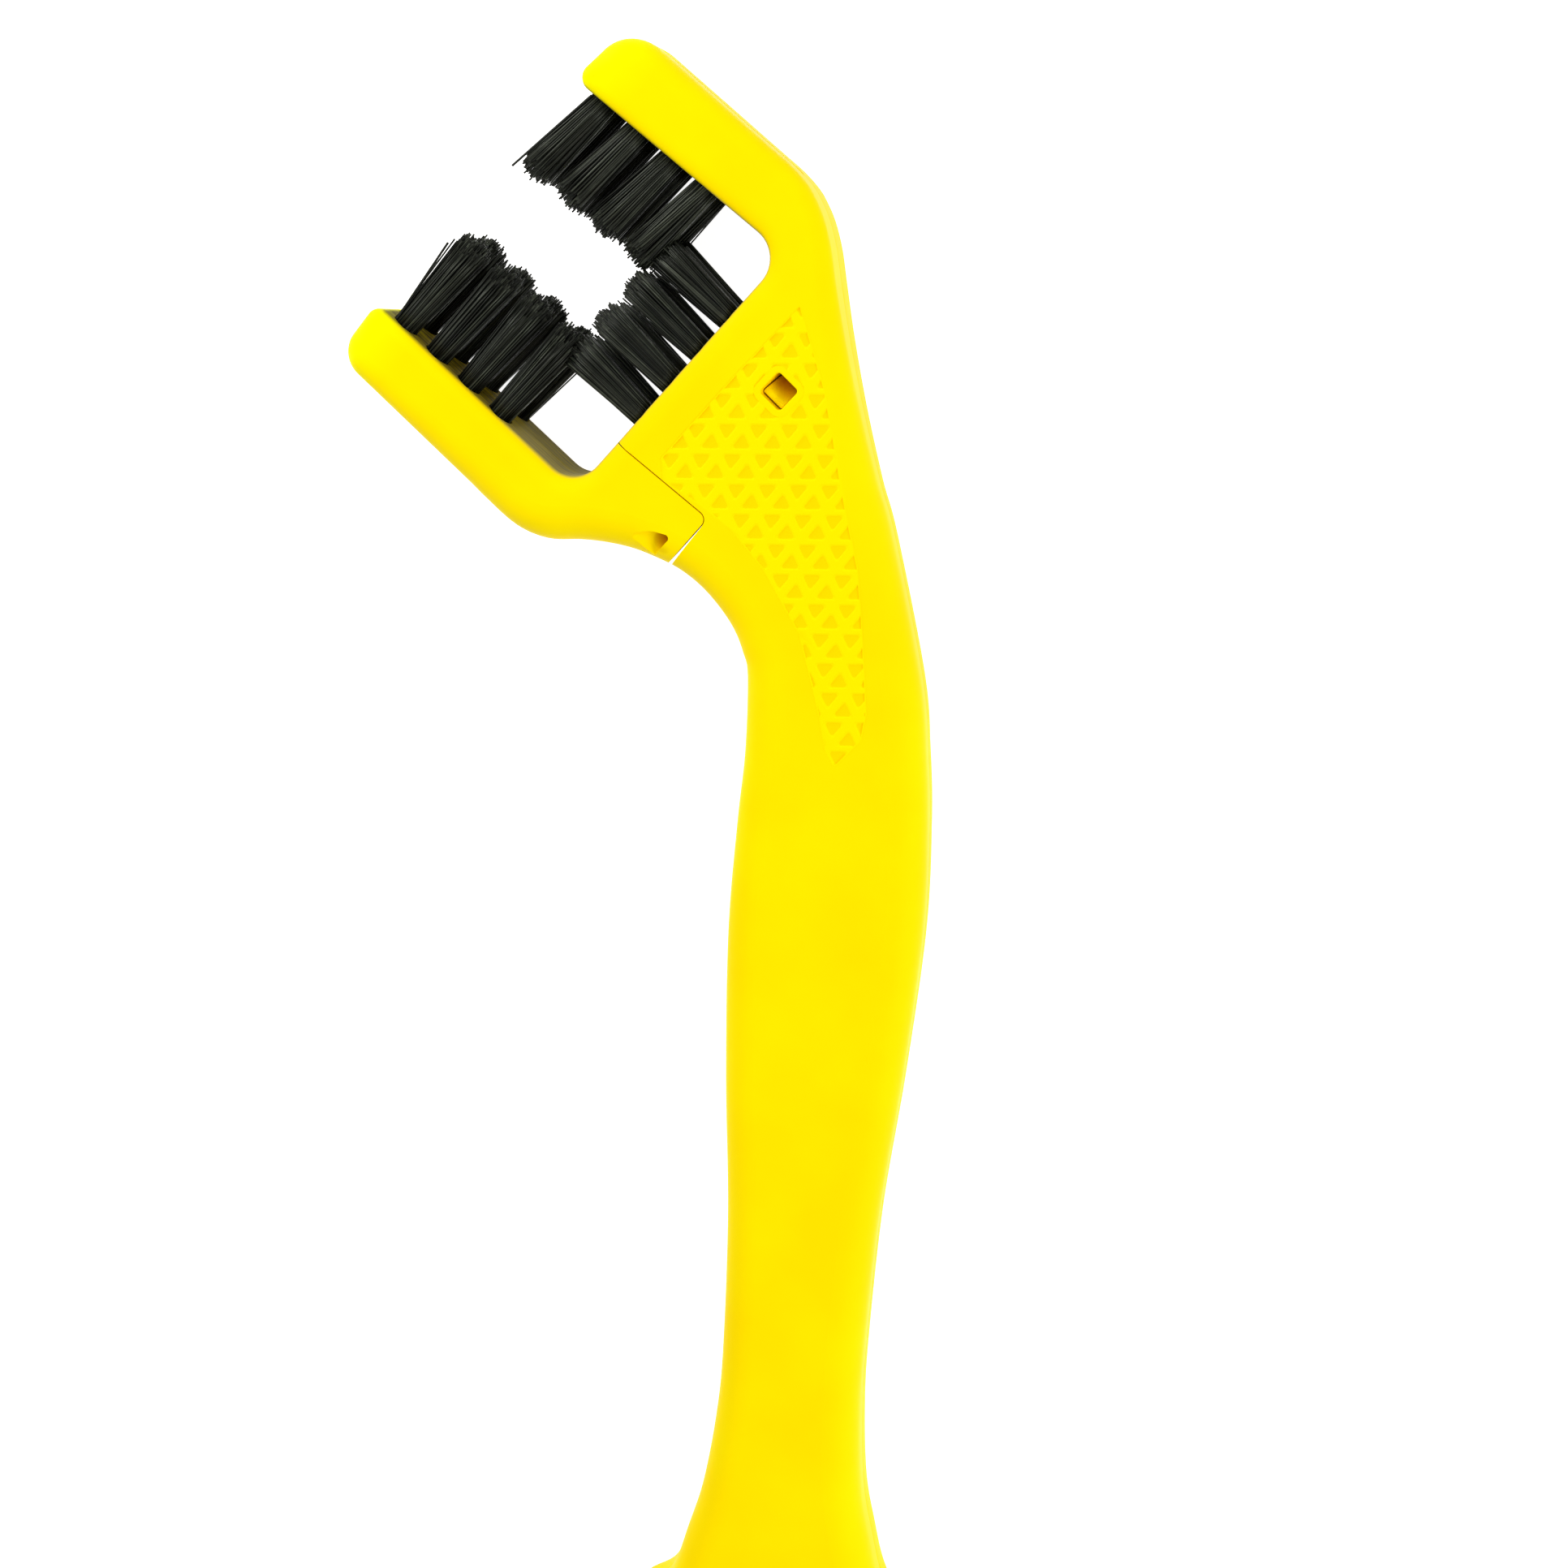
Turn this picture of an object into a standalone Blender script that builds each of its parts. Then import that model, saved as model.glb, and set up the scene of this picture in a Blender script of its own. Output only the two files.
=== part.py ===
# Double-ended chain cleaning brush.
# A moulded yellow handle ends in a square C-shaped head. Three of the head's inner faces carry
# tufts of nylon bristle that close in on a chain from three sides. The head's lower jaw is a
# moulding of its own: its tongue slides into a socket in the handle, and a spring finger on
# the tongue snaps into a square window. The far end of the handle flares into a plain brush.
#
# The brush lies on its back. X runs across the grip, Y along it towards the C-shaped head,
# and Z is the thickness. The origin is the middle of the grip, on its back face.
# All lengths are in metres.

import math

import bmesh
import bpy
from mathutils import Matrix, Vector

for leftover in list(bpy.data.objects):
    bpy.data.objects.remove(leftover, do_unlink=True)

# The body that both mouldings are cut from
THICKNESS = 0.013
WIDE_ROUND = 0.0046
WIDE_ROUND_DEPTH = 0.0044
TIGHT_ROUND = 0.0016
TIGHT_ROUND_DEPTH = 0.0012
# the right side's round narrows from the grip up to the upper jaw, between these heights
NARROW_FROM = 0.040
NARROW_TO = 0.066
ROUND_STEPS = 3
OUTLINE_STEP = 0.0034
ARC_STEPS = 6

# The C-shaped head, in its own directions: "along" the web and "out" towards the open side
WEB_ANGLE = math.radians(45.6)
HEAD_OFFSET = 0.0193
HEAD_RISE = 0.0546
HEAD_REACH = 0.0205
JAW_LENGTH = 0.0351
UPPER_JAW_WIDTH = 0.0089
LOWER_JAW_WIDTH = 0.0102
UPPER_JAW_LEAN = math.radians(5.0)
UPPER_JAW_OUTER_LEAN = math.radians(3.6)
LOWER_JAW_LEAN = math.radians(-1.8)
LOWER_JAW_OUTER_LEAN = 0.0
WEB_SLOPE = 0.024
CORNER_RADIUS = 0.0042
UPPER_TIP_RADIUS = 0.0054
LOWER_TIP_RADIUS = 0.0040
TIP_INNER_RADIUS = 0.0019
JAW_BASE = 0.0075
JAW_BASE_STEP = 0.0030

# The grip: how far down each station lies, and its left and right sides, as shares
GRIP_TOP = 0.015
GRIP_RUN = 0.130
GRIP_WIDTH = 0.0264
GRIP_STATION_SHARES = [
    (0.000, -0.427, 0.446),
    (0.077, -0.444, 0.476),
    (0.154, -0.490, 0.484),
    (0.269, -0.543, 0.458),
    (0.423, -0.565, 0.355),
    (0.577, -0.564, 0.231),
    (0.731, -0.600, 0.151),
    (0.808, -0.642, 0.131),
    (0.885, -0.716, 0.138),
    (0.938, -0.799, 0.178),
    (1.000, -0.916, 0.249),
]

# The outer run from the lower jaw's elbow down to the grip, and the shoulder above the grip,
# as shares of the head's reach: along the web, then out of it
THROAT_SHARES = [
    (-1.488, 0.156),
    (-1.446, 0.005),
    (-1.371, -0.122),
    (-1.244, -0.251),
    (-1.132, -0.390),
    (-1.037, -0.541),
    (-0.971, -0.693),
    (-0.924, -0.834),
    (-0.902, -1.005),
    (-0.912, -1.180),
    (-0.949, -1.356),
    (-1.020, -1.510),
]
SHOULDER_SHARES = [
    (0.203, -1.671),
    (0.384, -1.361),
    (0.634, -0.966),
    (0.880, -0.610),
    (1.094, -0.324),
    (1.229, -0.151),
    (1.327, 0.007),
    (1.380, 0.137),
    (1.403, 0.228),
]

# The brush head at the far end
END_WIDTH = 0.046
END_LENGTH = 0.025
END_LEAN = math.radians(4.7)
END_CORNER_RADIUS = 0.0045
END_FLARE_SHARES = [(0.20, 0.43), (0.38, 0.487)]
END_SIDE_SHARE = 0.56

# The seam between the handle and the lower jaw
SEAM_TOP = 0.0121
SEAM_LEAN = math.radians(5.3)
SEAM_DEPTH = 0.01565
SEAM_CORNER_RADIUS = 0.0011
SEAM_GAP = 0.0003
JAW_EDGE_LEAN = math.radians(-1.1)
HANDLE_EDGE_LEAN = math.radians(2.7)

# The tongue, its socket and the latch
TONGUE_WIDTH = 0.0076
TONGUE_THICKNESS = 0.0054
TONGUE_TIP = 0.0122
TONGUE_ROOT = 0.0150
TONGUE_CENTRE = 0.01105
TONGUE_EDGE = 0.0006
SOCKET_GAP = 0.0003
WINDOW_SIDE = 0.0034
WINDOW_CENTRE = 0.00775
WINDOW_ROUND = 0.0005
FINGER_WIDTH = 0.0030
FINGER_THICKNESS = 0.0014
FINGER_ROOT = 0.0050
FINGER_CLEARANCE = 0.0005
FINGER_ROOT_GAP = 0.0002
HOOK_GAP = 0.0002
HOOK_LENGTH = 0.0029
HOOK_CREST = 0.0007
HOOK_SUNK = 0.0010
RELEASE_TRAVEL = 0.026

# The thumb scoop that helps to pull the lower jaw out: its deep corner, and the curve of its back
SCOOP_ALONG = 0.0161
SCOOP_BELOW = 0.01355
SCOOP_TURN = math.radians(102.0)
SCOOP_RADIUS = 0.0052
SCOOP_SHIFT = 0.0005
SCOOP_CORNER_RADIUS = 0.0004
SCOOP_DEPTH = 0.0023
SCOOP_REACH = 0.0075

# The shallow slot along the upper jaw's outer side
SIDE_SLOT_LENGTH = 0.0265
SIDE_SLOT_WIDTH = 0.0011
SIDE_SLOT_DEPTH = 0.0005
SIDE_SLOT_START = 0.0065

# Tufts round the chain opening
TUFT_PITCH = 0.00565
TUFTS_IN_ROW = 4
ROW_SPACING = 0.0072
HOLE_RADIUS = 0.0018
HOLE_DEPTH = 0.0052
HOLE_SIDES = 12
TIP_TUFT_INSET = 0.00435
JAW_TUFT_START = JAW_LENGTH - TIP_TUFT_INSET - TUFT_PITCH * (TUFTS_IN_ROW - 1)
WEB_TUFT_SHIFT = 0.00105
WEB_TUFT_CLEARANCE = 0.0005
WEB_TUFT_LENGTH = JAW_TUFT_START - HOLE_RADIUS - WEB_TUFT_CLEARANCE
UPPER_TUFT_LENGTH = 0.0128
LOWER_TUFT_LENGTH = 0.0148
UPPER_TUFT_LEAN = math.radians(4.0)

# One tuft: a plug of packed bristle ends in its hole, and the strands that rise from it
PLUG_GAP = 0.0003
PLUG_SINK = 0.0004
STRAND_RADIUS = 0.00028
STRAND_TIP_SHARE = 0.8
STRAND_RINGS = [(3, 0.28, 0.0), (9, 0.76, 0.35)]
TUFT_SPREAD = 0.0004
TRIM_UNEVEN = 0.0005
ROOT_SINK = 0.0004

# The metal plate that staples each tuft into its hole
ANCHOR_HEIGHT = 0.0015
ANCHOR_THICKNESS = 0.0004
ANCHOR_WIDTH = 0.0027
ANCHOR_GAP = 0.0003

# The far brush: two strips of bristle pressed into slots in the end face
END_TUFTS = 7
END_ROW_SPACING = 0.0056
END_BRISTLE_LENGTH = 0.024
END_TUFT_RADIUS = 0.0014
END_STRAND_RINGS = [(2, 0.25, 0.4), (6, 0.78, 0.0)]
STRIP_WALL = 0.0023
STRIP_MARGIN = 0.0024
STRIP_WIDTH = 0.0034
STRIP_DEPTH = 0.0045
STRIP_LENGTH = END_WIDTH - 2 * STRIP_WALL
END_TUFT_PITCH = (STRIP_LENGTH - 2 * STRIP_MARGIN) / (END_TUFTS - 1)

# How far every cutter runs past the face that it opens, and what counts as one point
OVERRUN = 0.002
WELD = 0.000002

MID_PLANE = THICKNESS / 2
HEAD_CENTRE = Vector((-HEAD_OFFSET, HEAD_RISE))
ALONG = Vector((math.cos(WEB_ANGLE), math.sin(WEB_ANGLE)))
OUT = Vector((-math.sin(WEB_ANGLE), math.cos(WEB_ANGLE)))

brush_collection = bpy.data.collections.new("chain_brush")
cutter_collection = bpy.data.collections.new("cutters")
bpy.context.scene.collection.children.link(brush_collection)
bpy.context.scene.collection.children.link(cutter_collection)


def make_material(name, colour, roughness, metallic=0.0):
    material = bpy.data.materials.new(name)
    material.use_nodes = True
    shader = material.node_tree.nodes["Principled BSDF"]
    shader.inputs["Base Color"].default_value = (*colour, 1.0)
    shader.inputs["Roughness"].default_value = roughness
    shader.inputs["Metallic"].default_value = metallic
    return material


YELLOW = make_material("yellow_plastic", (1.0, 0.78, 0.0), 0.38)
BLACK = make_material("black_nylon", (0.012, 0.014, 0.012), 0.45)
STEEL = make_material("anchor_steel", (0.60, 0.60, 0.58), 0.35, 1.0)


def add_object(name, mesh, material=None):
    """An object of the brush, or a cutter where it has no material."""
    item = bpy.data.objects.new(name, mesh)
    if material is None:
        cutter_collection.objects.link(item)
        item.hide_render = True
        item.display_type = "WIRE"
    else:
        brush_collection.objects.link(item)
        mesh.materials.append(material)
    return item


def mesh_from(name, builder):
    """A mesh that builder fills through bmesh, with its faces turned outwards."""
    shape = bmesh.new()
    builder(shape)
    bmesh.ops.recalc_face_normals(shape, faces=shape.faces)
    mesh = bpy.data.meshes.new(name)
    shape.to_mesh(mesh)
    shape.free()
    return mesh


def combine(target, cutter, operation):
    """Adds an exact Boolean of cutter to target."""
    boolean = target.modifiers.new(operation.lower() + "_" + cutter.name, "BOOLEAN")
    boolean.operation = operation
    boolean.solver = "EXACT"
    boolean.object = cutter


def head_point(along, out):
    """A point of the head's plane as X and Y."""
    return HEAD_CENTRE + ALONG * along + OUT * out


def head_frame(along, out, height, turn=0.0):
    """A matrix whose X runs along the web and whose Y points out of it, turned about Z."""
    place = head_point(along, out)
    spin = Matrix.Rotation(WEB_ANGLE + turn, 4, "Z")
    return Matrix.Translation((place.x, place.y, height)) @ spin


def facing_frame(place, height, direction):
    """A matrix whose Z points along direction in the X and Y plane, and whose X is up."""
    z_axis = Vector((direction.x, direction.y, 0)).normalized()
    x_axis = Vector((0, 0, 1))
    y_axis = z_axis.cross(x_axis)
    turn = Matrix((x_axis, y_axis, z_axis)).transposed().to_4x4()
    return Matrix.Translation((place.x, place.y, height)) @ turn


def round_corner(before, corner, after, radius):
    """The arc that rounds a corner between two straight lines."""
    back = (before - corner).normalized()
    ahead = (after - corner).normalized()
    half_angle = back.angle(ahead) / 2
    reach = radius / math.tan(half_angle)
    centre = corner + (back + ahead).normalized() * radius / math.sin(half_angle)
    start = corner + back * reach - centre
    sweep = start.angle_signed(corner + ahead * reach - centre)
    return [
        centre + Matrix.Rotation(-sweep * step / ARC_STEPS, 2) @ start
        for step in range(ARC_STEPS + 1)
    ]


def smooth_run(points):
    """Points about OUTLINE_STEP apart on a smooth curve that leaves out its two end points."""
    run = []
    for p0, p1, p2, p3 in zip(points, points[1:], points[2:], points[3:]):
        steps = max(1, round((p2 - p1).length / OUTLINE_STEP))
        for step in range(steps):
            t = step / steps
            run.append(
                (
                    2 * p1
                    + (p2 - p0) * t
                    + (2 * p0 - 5 * p1 + 4 * p2 - p3) * t**2
                    + (3 * p1 - p0 - 3 * p2 + p3) * t**3
                )
                / 2
            )
    run.append(points[-2])
    return run


def jaw_line(side, across, out):
    """A point of a jaw, across from its inner line at 0 to its outer at 1. Side is 1 for the upper jaw."""
    if side > 0:
        width, lean, outer_lean = UPPER_JAW_WIDTH, UPPER_JAW_LEAN, UPPER_JAW_OUTER_LEAN
    else:
        width, lean, outer_lean = LOWER_JAW_WIDTH, LOWER_JAW_LEAN, LOWER_JAW_OUTER_LEAN
    slope = math.tan(lean) * (1 - across) + math.tan(outer_lean) * across
    return head_point(side * (HEAD_REACH + width * across - out * slope), out)


def jaw_tip(side):
    """The two rounded corners at a jaw's tip, from the inner side to the outer."""
    base_in = jaw_line(side, 0, 0)
    base_out = jaw_line(side, 1, 0)
    tip_in = jaw_line(side, 0, JAW_LENGTH)
    tip_out = jaw_line(side, 1, JAW_LENGTH)
    outer_radius = UPPER_TIP_RADIUS if side > 0 else LOWER_TIP_RADIUS
    inner = round_corner(base_in, tip_in, tip_out, TIP_INNER_RADIUS)
    outer = round_corner(tip_in, tip_out, base_out, outer_radius)
    return inner, outer


def end_point(across, down):
    """A point of the far head, across its axis and down from the grip's last station."""
    last_down, last_left, last_right = GRIP_STATION_SHARES[-1]
    middle = Vector(
        ((last_left + last_right) / 2 * GRIP_WIDTH, GRIP_TOP - last_down * GRIP_RUN)
    )
    axis = Vector((-math.sin(END_LEAN), -math.cos(END_LEAN)))
    sideways = Vector((math.cos(END_LEAN), -math.sin(END_LEAN)))
    return middle + axis * down + sideways * across


def grip_side(column):
    return [
        Vector((row[column] * GRIP_WIDTH, GRIP_TOP - row[0] * GRIP_RUN))
        for row in GRIP_STATION_SHARES
    ]


def side_share(point):
    """How wide the right side's round is there: full along the grip, narrow on the upper jaw."""
    narrow = 0.3
    climb = (point.y - NARROW_FROM) / (NARROW_TO - NARROW_FROM)
    return 1 - (1 - narrow) * min(1, max(0, climb))


def body_outline():
    """The outline of both mouldings together, counter-clockwise, with how wide each point's round is."""
    lower_in, lower_out = jaw_tip(-1)
    upper_in, upper_out = jaw_tip(1)
    web_upper = jaw_line(1, 0, WEB_SLOPE * HEAD_REACH)
    web_lower = jaw_line(-1, 0, -WEB_SLOPE * HEAD_REACH)
    upper_corner = round_corner(upper_in[0], web_upper, web_lower, CORNER_RADIUS)
    lower_corner = round_corner(web_upper, web_lower, lower_in[0], CORNER_RADIUS)
    throat = [head_point(a * HEAD_REACH, b * HEAD_REACH) for a, b in THROAT_SHARES]
    shoulder = [head_point(a * HEAD_REACH, b * HEAD_REACH) for a, b in SHOULDER_SHARES]
    bases = [JAW_BASE + step * JAW_BASE_STEP for step in range(3)]
    elbow = [jaw_line(-1, 1, out) for out in reversed(bases)]
    shoulder_end = [jaw_line(1, 1, out) for out in bases]
    side_stop = END_SIDE_SHARE * END_LENGTH
    flare_left = [end_point(-b * END_WIDTH, a * END_LENGTH) for a, b in END_FLARE_SHARES]
    flare_right = [end_point(b * END_WIDTH, a * END_LENGTH) for a, b in END_FLARE_SHARES]
    flare_left.append(end_point(-END_WIDTH / 2, side_stop))
    flare_right.append(end_point(END_WIDTH / 2, side_stop))
    end_left = end_point(-END_WIDTH / 2, END_LENGTH)
    end_right = end_point(END_WIDTH / 2, END_LENGTH)
    left_run = smooth_run([*elbow, *throat, *grip_side(1), *flare_left, end_left])
    right_side = [*reversed(flare_right), *reversed(grip_side(2))]
    right_run = smooth_run([end_right, *right_side, *shoulder, *shoulder_end])
    wide, middle, slight, tight = 1.0, 0.45, 0.25, 0.0
    runs = [
        (upper_corner, tight),
        (lower_corner, tight),
        (lower_in, tight),
        (lower_out, middle),
        (left_run, wide),
        (round_corner(flare_left[-1], end_left, end_right, END_CORNER_RADIUS), slight),
        (round_corner(end_left, end_right, flare_right[-1], END_CORNER_RADIUS), slight),
        (right_run, wide),
        (list(reversed(upper_out)), middle),
        (list(reversed(upper_in)), tight),
    ]
    points, shares = [], []
    for run, share in runs:
        points += run
        shares += [side_share(point) if run is right_run else share for point in run]
    return fill_long_edges(points, shares)


def fill_long_edges(points, shares):
    """Splits the long straight edges, so that the round can change its width along them."""
    filled, filled_shares = [], []
    count = len(points)
    for i in range(count):
        here, after = points[i], points[(i + 1) % count]
        steps = max(1, int((after - here).length / (2 * OUTLINE_STEP)))
        for step in range(steps):
            t = step / steps
            filled.append(here.lerp(after, t))
            filled_shares.append(shares[i] * (1 - t) + shares[(i + 1) % count] * t)
    return filled, filled_shares


def inward_normals(points):
    """The inward direction at each outline point."""
    count = len(points)
    normals = []
    for i in range(count):
        before = (points[i] - points[i - 1]).normalized()
        after = (points[(i + 1) % count] - points[i]).normalized()
        chord = before + after
        normals.append(Vector((-chord.y, chord.x)).normalized())
    return normals


def build_body(shape):
    """A loft of the outline's rings. One bevel can't be wide outside and tight round the opening."""
    points, shares = body_outline()
    normals = inward_normals(points)
    levels = []
    for step in range(ROUND_STEPS + 1):
        angle = math.pi / 2 * step / ROUND_STEPS
        levels.append((1 - math.cos(angle), 1 - math.sin(angle)))
    rings = []
    for side, order in ((-1, reversed(levels)), (1, levels)):
        for inset_share, depth_share in order:
            ring = []
            for point, normal, share in zip(points, normals, shares):
                width = TIGHT_ROUND + (WIDE_ROUND - TIGHT_ROUND) * share
                depth = TIGHT_ROUND_DEPTH + (WIDE_ROUND_DEPTH - TIGHT_ROUND_DEPTH) * share
                place = point + normal * width * inset_share
                height = MID_PLANE + side * (THICKNESS / 2 - depth * depth_share)
                ring.append(shape.verts.new((place.x, place.y, height)))
            rings.append(ring)
    count = len(points)
    for lower, upper in zip(rings, rings[1:]):
        for i in range(count):
            j = (i + 1) % count
            shape.faces.new((lower[i], lower[j], upper[j], upper[i]))
    shape.faces.new(list(reversed(rings[0])))
    shape.faces.new(rings[-1])


def extruded(name, outline, depth, frame, material=None):
    """An object made from a closed flat outline, extruded by depth from the frame's plane along its Z."""
    curve = bpy.data.curves.new(name, "CURVE")
    curve.dimensions = "2D"
    curve.fill_mode = "BOTH"
    curve.extrude = depth / 2
    spline = curve.splines.new("POLY")
    spline.points.add(len(outline) - 1)
    for point, place in zip(spline.points, outline):
        point.co = (*place, 0, 1)
    spline.use_cyclic_u = True
    guide = bpy.data.objects.new(name + "_outline", curve)
    brush_collection.objects.link(guide)
    bpy.context.view_layer.update()
    graph = bpy.context.evaluated_depsgraph_get()
    mesh = bpy.data.meshes.new_from_object(guide.evaluated_get(graph))
    bpy.data.objects.remove(guide)
    shape = bmesh.new()
    shape.from_mesh(mesh)
    bmesh.ops.remove_doubles(shape, verts=shape.verts, dist=WELD)
    bmesh.ops.translate(shape, vec=(0, 0, depth / 2), verts=shape.verts)
    bmesh.ops.recalc_face_normals(shape, faces=shape.faces)
    shape.to_mesh(mesh)
    shape.free()
    mesh.name = name
    item = add_object(name, mesh, material)
    item.matrix_world = frame
    return item


def jaw_side(name, growth, edge_lean):
    """The space on the lower jaw's side of the seam, grown by a clearance, with its low edge leaning."""
    slope = math.tan(SEAM_LEAN)
    reach = JAW_LENGTH + OVERRUN
    clear = HEAD_REACH + LOWER_JAW_WIDTH + JAW_LENGTH
    top = growth - SEAM_TOP
    mouth = Vector((top - reach * slope, reach))
    corner = Vector((top + SEAM_DEPTH * slope, -SEAM_DEPTH - growth))
    far_low = Vector((-clear, corner.y - math.tan(edge_lean) * (clear + corner.x)))
    far_high = Vector((-clear, reach))
    arc = round_corner(far_low, corner, mouth, SEAM_CORNER_RADIUS + growth)
    depth = THICKNESS + 2 * OVERRUN
    frame = head_frame(0, 0, -OVERRUN)
    return extruded(name, [far_low, *arc, mouth, far_high], depth, frame)


def box_at(name, frame, size, edge=0.0):
    """A box with the given size, centred on a frame. Edge rounds its corners along its X."""

    def build(shape):
        bmesh.ops.create_cube(shape, size=1.0)
        bmesh.ops.scale(shape, vec=size, verts=shape.verts)
        if edge:
            long_edges = [
                e for e in shape.edges if abs((e.verts[0].co - e.verts[1].co).x) > edge
            ]
            bmesh.ops.bevel(
                shape, geom=long_edges, offset=edge, segments=1, affect="EDGES"
            )
        bmesh.ops.transform(shape, matrix=frame, verts=shape.verts)

    return mesh_from(name, build)


def tuft_places():
    """Every tuft round the opening: its wall, number, place, height, direction and length."""
    places = []
    lean = Matrix.Rotation(-UPPER_TUFT_LEAN, 2)
    web_start = WEB_TUFT_SHIFT - TUFT_PITCH * (TUFTS_IN_ROW - 1) / 2
    for row, row_side in (("front", 1), ("back", -1)):
        height = MID_PLANE + row_side * ROW_SPACING / 2
        for index in range(TUFTS_IN_ROW):
            step = index * TUFT_PITCH
            number = f"{row}_{index + 1}"
            upper = jaw_line(1, 0, JAW_TUFT_START + step)
            web = head_point(web_start + step, WEB_SLOPE * (web_start + step))
            lower = jaw_line(-1, 0, JAW_TUFT_START + step)
            places.append(("upper", number, upper, height, lean @ -ALONG, UPPER_TUFT_LENGTH))
            places.append(("web", number, web, height, OUT, WEB_TUFT_LENGTH))
            places.append(("lower", number, lower, height, ALONG, LOWER_TUFT_LENGTH))
    return places


def hole_cutter(name, places):
    """All the tuft holes of one moulding as one cutter."""

    def build(shape):
        for _, _, place, height, direction, _ in places:
            frame = facing_frame(place, height, direction)
            middle = Matrix.Translation((0, 0, (OVERRUN - HOLE_DEPTH) / 2))
            bmesh.ops.create_cone(
                shape,
                cap_ends=True,
                segments=HOLE_SIDES,
                radius1=HOLE_RADIUS,
                radius2=HOLE_RADIUS,
                depth=HOLE_DEPTH + OVERRUN,
                matrix=frame @ middle,
            )

    return add_object(name, mesh_from(name, build))


def add_strands(shape, centre, rings, radius, length):
    """Three-sided strands that rise from a tuft's root and spread, so that none crosses another."""
    number = 0
    for count, radius_share, turn in rings:
        for k in range(count):
            angle = 2 * math.pi * (k + turn) / count
            outward = Vector((math.cos(angle), math.sin(angle), 0))
            root = centre + outward * radius * radius_share
            trim = TRIM_UNEVEN * math.cos(number * math.pi * (math.sqrt(5) - 1))
            rise = length + ROOT_SINK - TRIM_UNEVEN + trim
            spread = outward * TUFT_SPREAD * radius_share
            lean = Vector((0, 0, rise)) + spread
            middle = root + lean / 2 - Vector((0, 0, ROOT_SINK))
            turn_to = Vector((0, 0, 1)).rotation_difference(lean).to_matrix().to_4x4()
            spin = Matrix.Rotation(angle, 4, "Z")
            bmesh.ops.create_cone(
                shape,
                cap_ends=True,
                segments=3,
                radius1=STRAND_RADIUS,
                radius2=STRAND_RADIUS * STRAND_TIP_SHARE,
                depth=lean.length,
                matrix=Matrix.Translation(middle) @ turn_to @ spin,
            )
            number += 1


def fuse(name, base_mesh, strand_mesh):
    """Joins strands to the slice of backing that they stand on, as one mesh."""
    base = add_object(name + "_base", base_mesh)
    strands = add_object(name + "_strands", strand_mesh)
    combine(base, strands, "UNION")
    graph = bpy.context.evaluated_depsgraph_get()
    fused = bpy.data.meshes.new_from_object(base.evaluated_get(graph))
    fused.name = name
    bpy.data.objects.remove(base)
    bpy.data.objects.remove(strands)
    return fused


def tuft_mesh(name, length):
    """One tuft, standing on the mouth of its hole along Z."""
    plug_bottom = -HOLE_DEPTH + ANCHOR_HEIGHT + 2 * ANCHOR_GAP
    plug_top = -PLUG_SINK
    plug_radius = HOLE_RADIUS - PLUG_GAP

    def build_plug(shape):
        bmesh.ops.create_cone(
            shape,
            cap_ends=True,
            segments=HOLE_SIDES,
            radius1=plug_radius,
            radius2=plug_radius,
            depth=plug_top - plug_bottom,
            matrix=Matrix.Translation((0, 0, (plug_top + plug_bottom) / 2)),
        )

    def build_strands(shape):
        centre = Vector((0, 0, plug_top))
        reach = length - plug_top
        add_strands(shape, centre, STRAND_RINGS, plug_radius, reach)

    plug = mesh_from(name + "_plug", build_plug)
    return fuse(name, plug, mesh_from(name + "_rise", build_strands))


def place_tufts(places):
    """Each tuft and its anchor, as objects that stand on the hole's mouth."""
    lengths = sorted({length for *_, length in places})
    tufts = {length: tuft_mesh(f"tuft_{i}", length) for i, length in enumerate(lengths)}
    anchor_middle = Matrix.Translation((0, 0, -HOLE_DEPTH + ANCHOR_GAP + ANCHOR_HEIGHT / 2))
    anchor = box_at(
        "anchor", anchor_middle, (ANCHOR_WIDTH, ANCHOR_THICKNESS, ANCHOR_HEIGHT)
    )
    for mesh, material in [(tuft, BLACK) for tuft in tufts.values()] + [(anchor, STEEL)]:
        mesh.materials.clear()
        mesh.materials.append(material)
    items = []
    for wall, number, place, height, direction, length in places:
        for kind, mesh in (("tuft", tufts[length]), ("anchor", anchor)):
            item = bpy.data.objects.new(f"{wall}_{kind}_{number}", mesh)
            brush_collection.objects.link(item)
            item.matrix_world = facing_frame(place, height, direction)
            items.append(item)
    return items


def end_frame(row_side):
    """The frame of one bristle strip: Z points out of the end face and Y across it."""
    mouth = end_point(0, END_LENGTH)
    direction = mouth - end_point(0, 0)
    height = MID_PLANE + row_side * END_ROW_SPACING / 2
    return facing_frame(mouth, height, direction)


def end_slot(row, row_side):
    """The slot that one bristle strip is pressed into."""
    middle = Matrix.Translation((0, 0, (OVERRUN - STRIP_DEPTH) / 2))
    size = (STRIP_WIDTH, STRIP_LENGTH, STRIP_DEPTH + OVERRUN)
    mesh = box_at("end_slot_" + row, end_frame(row_side) @ middle, size)
    return add_object("end_slot_" + row, mesh)


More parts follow.
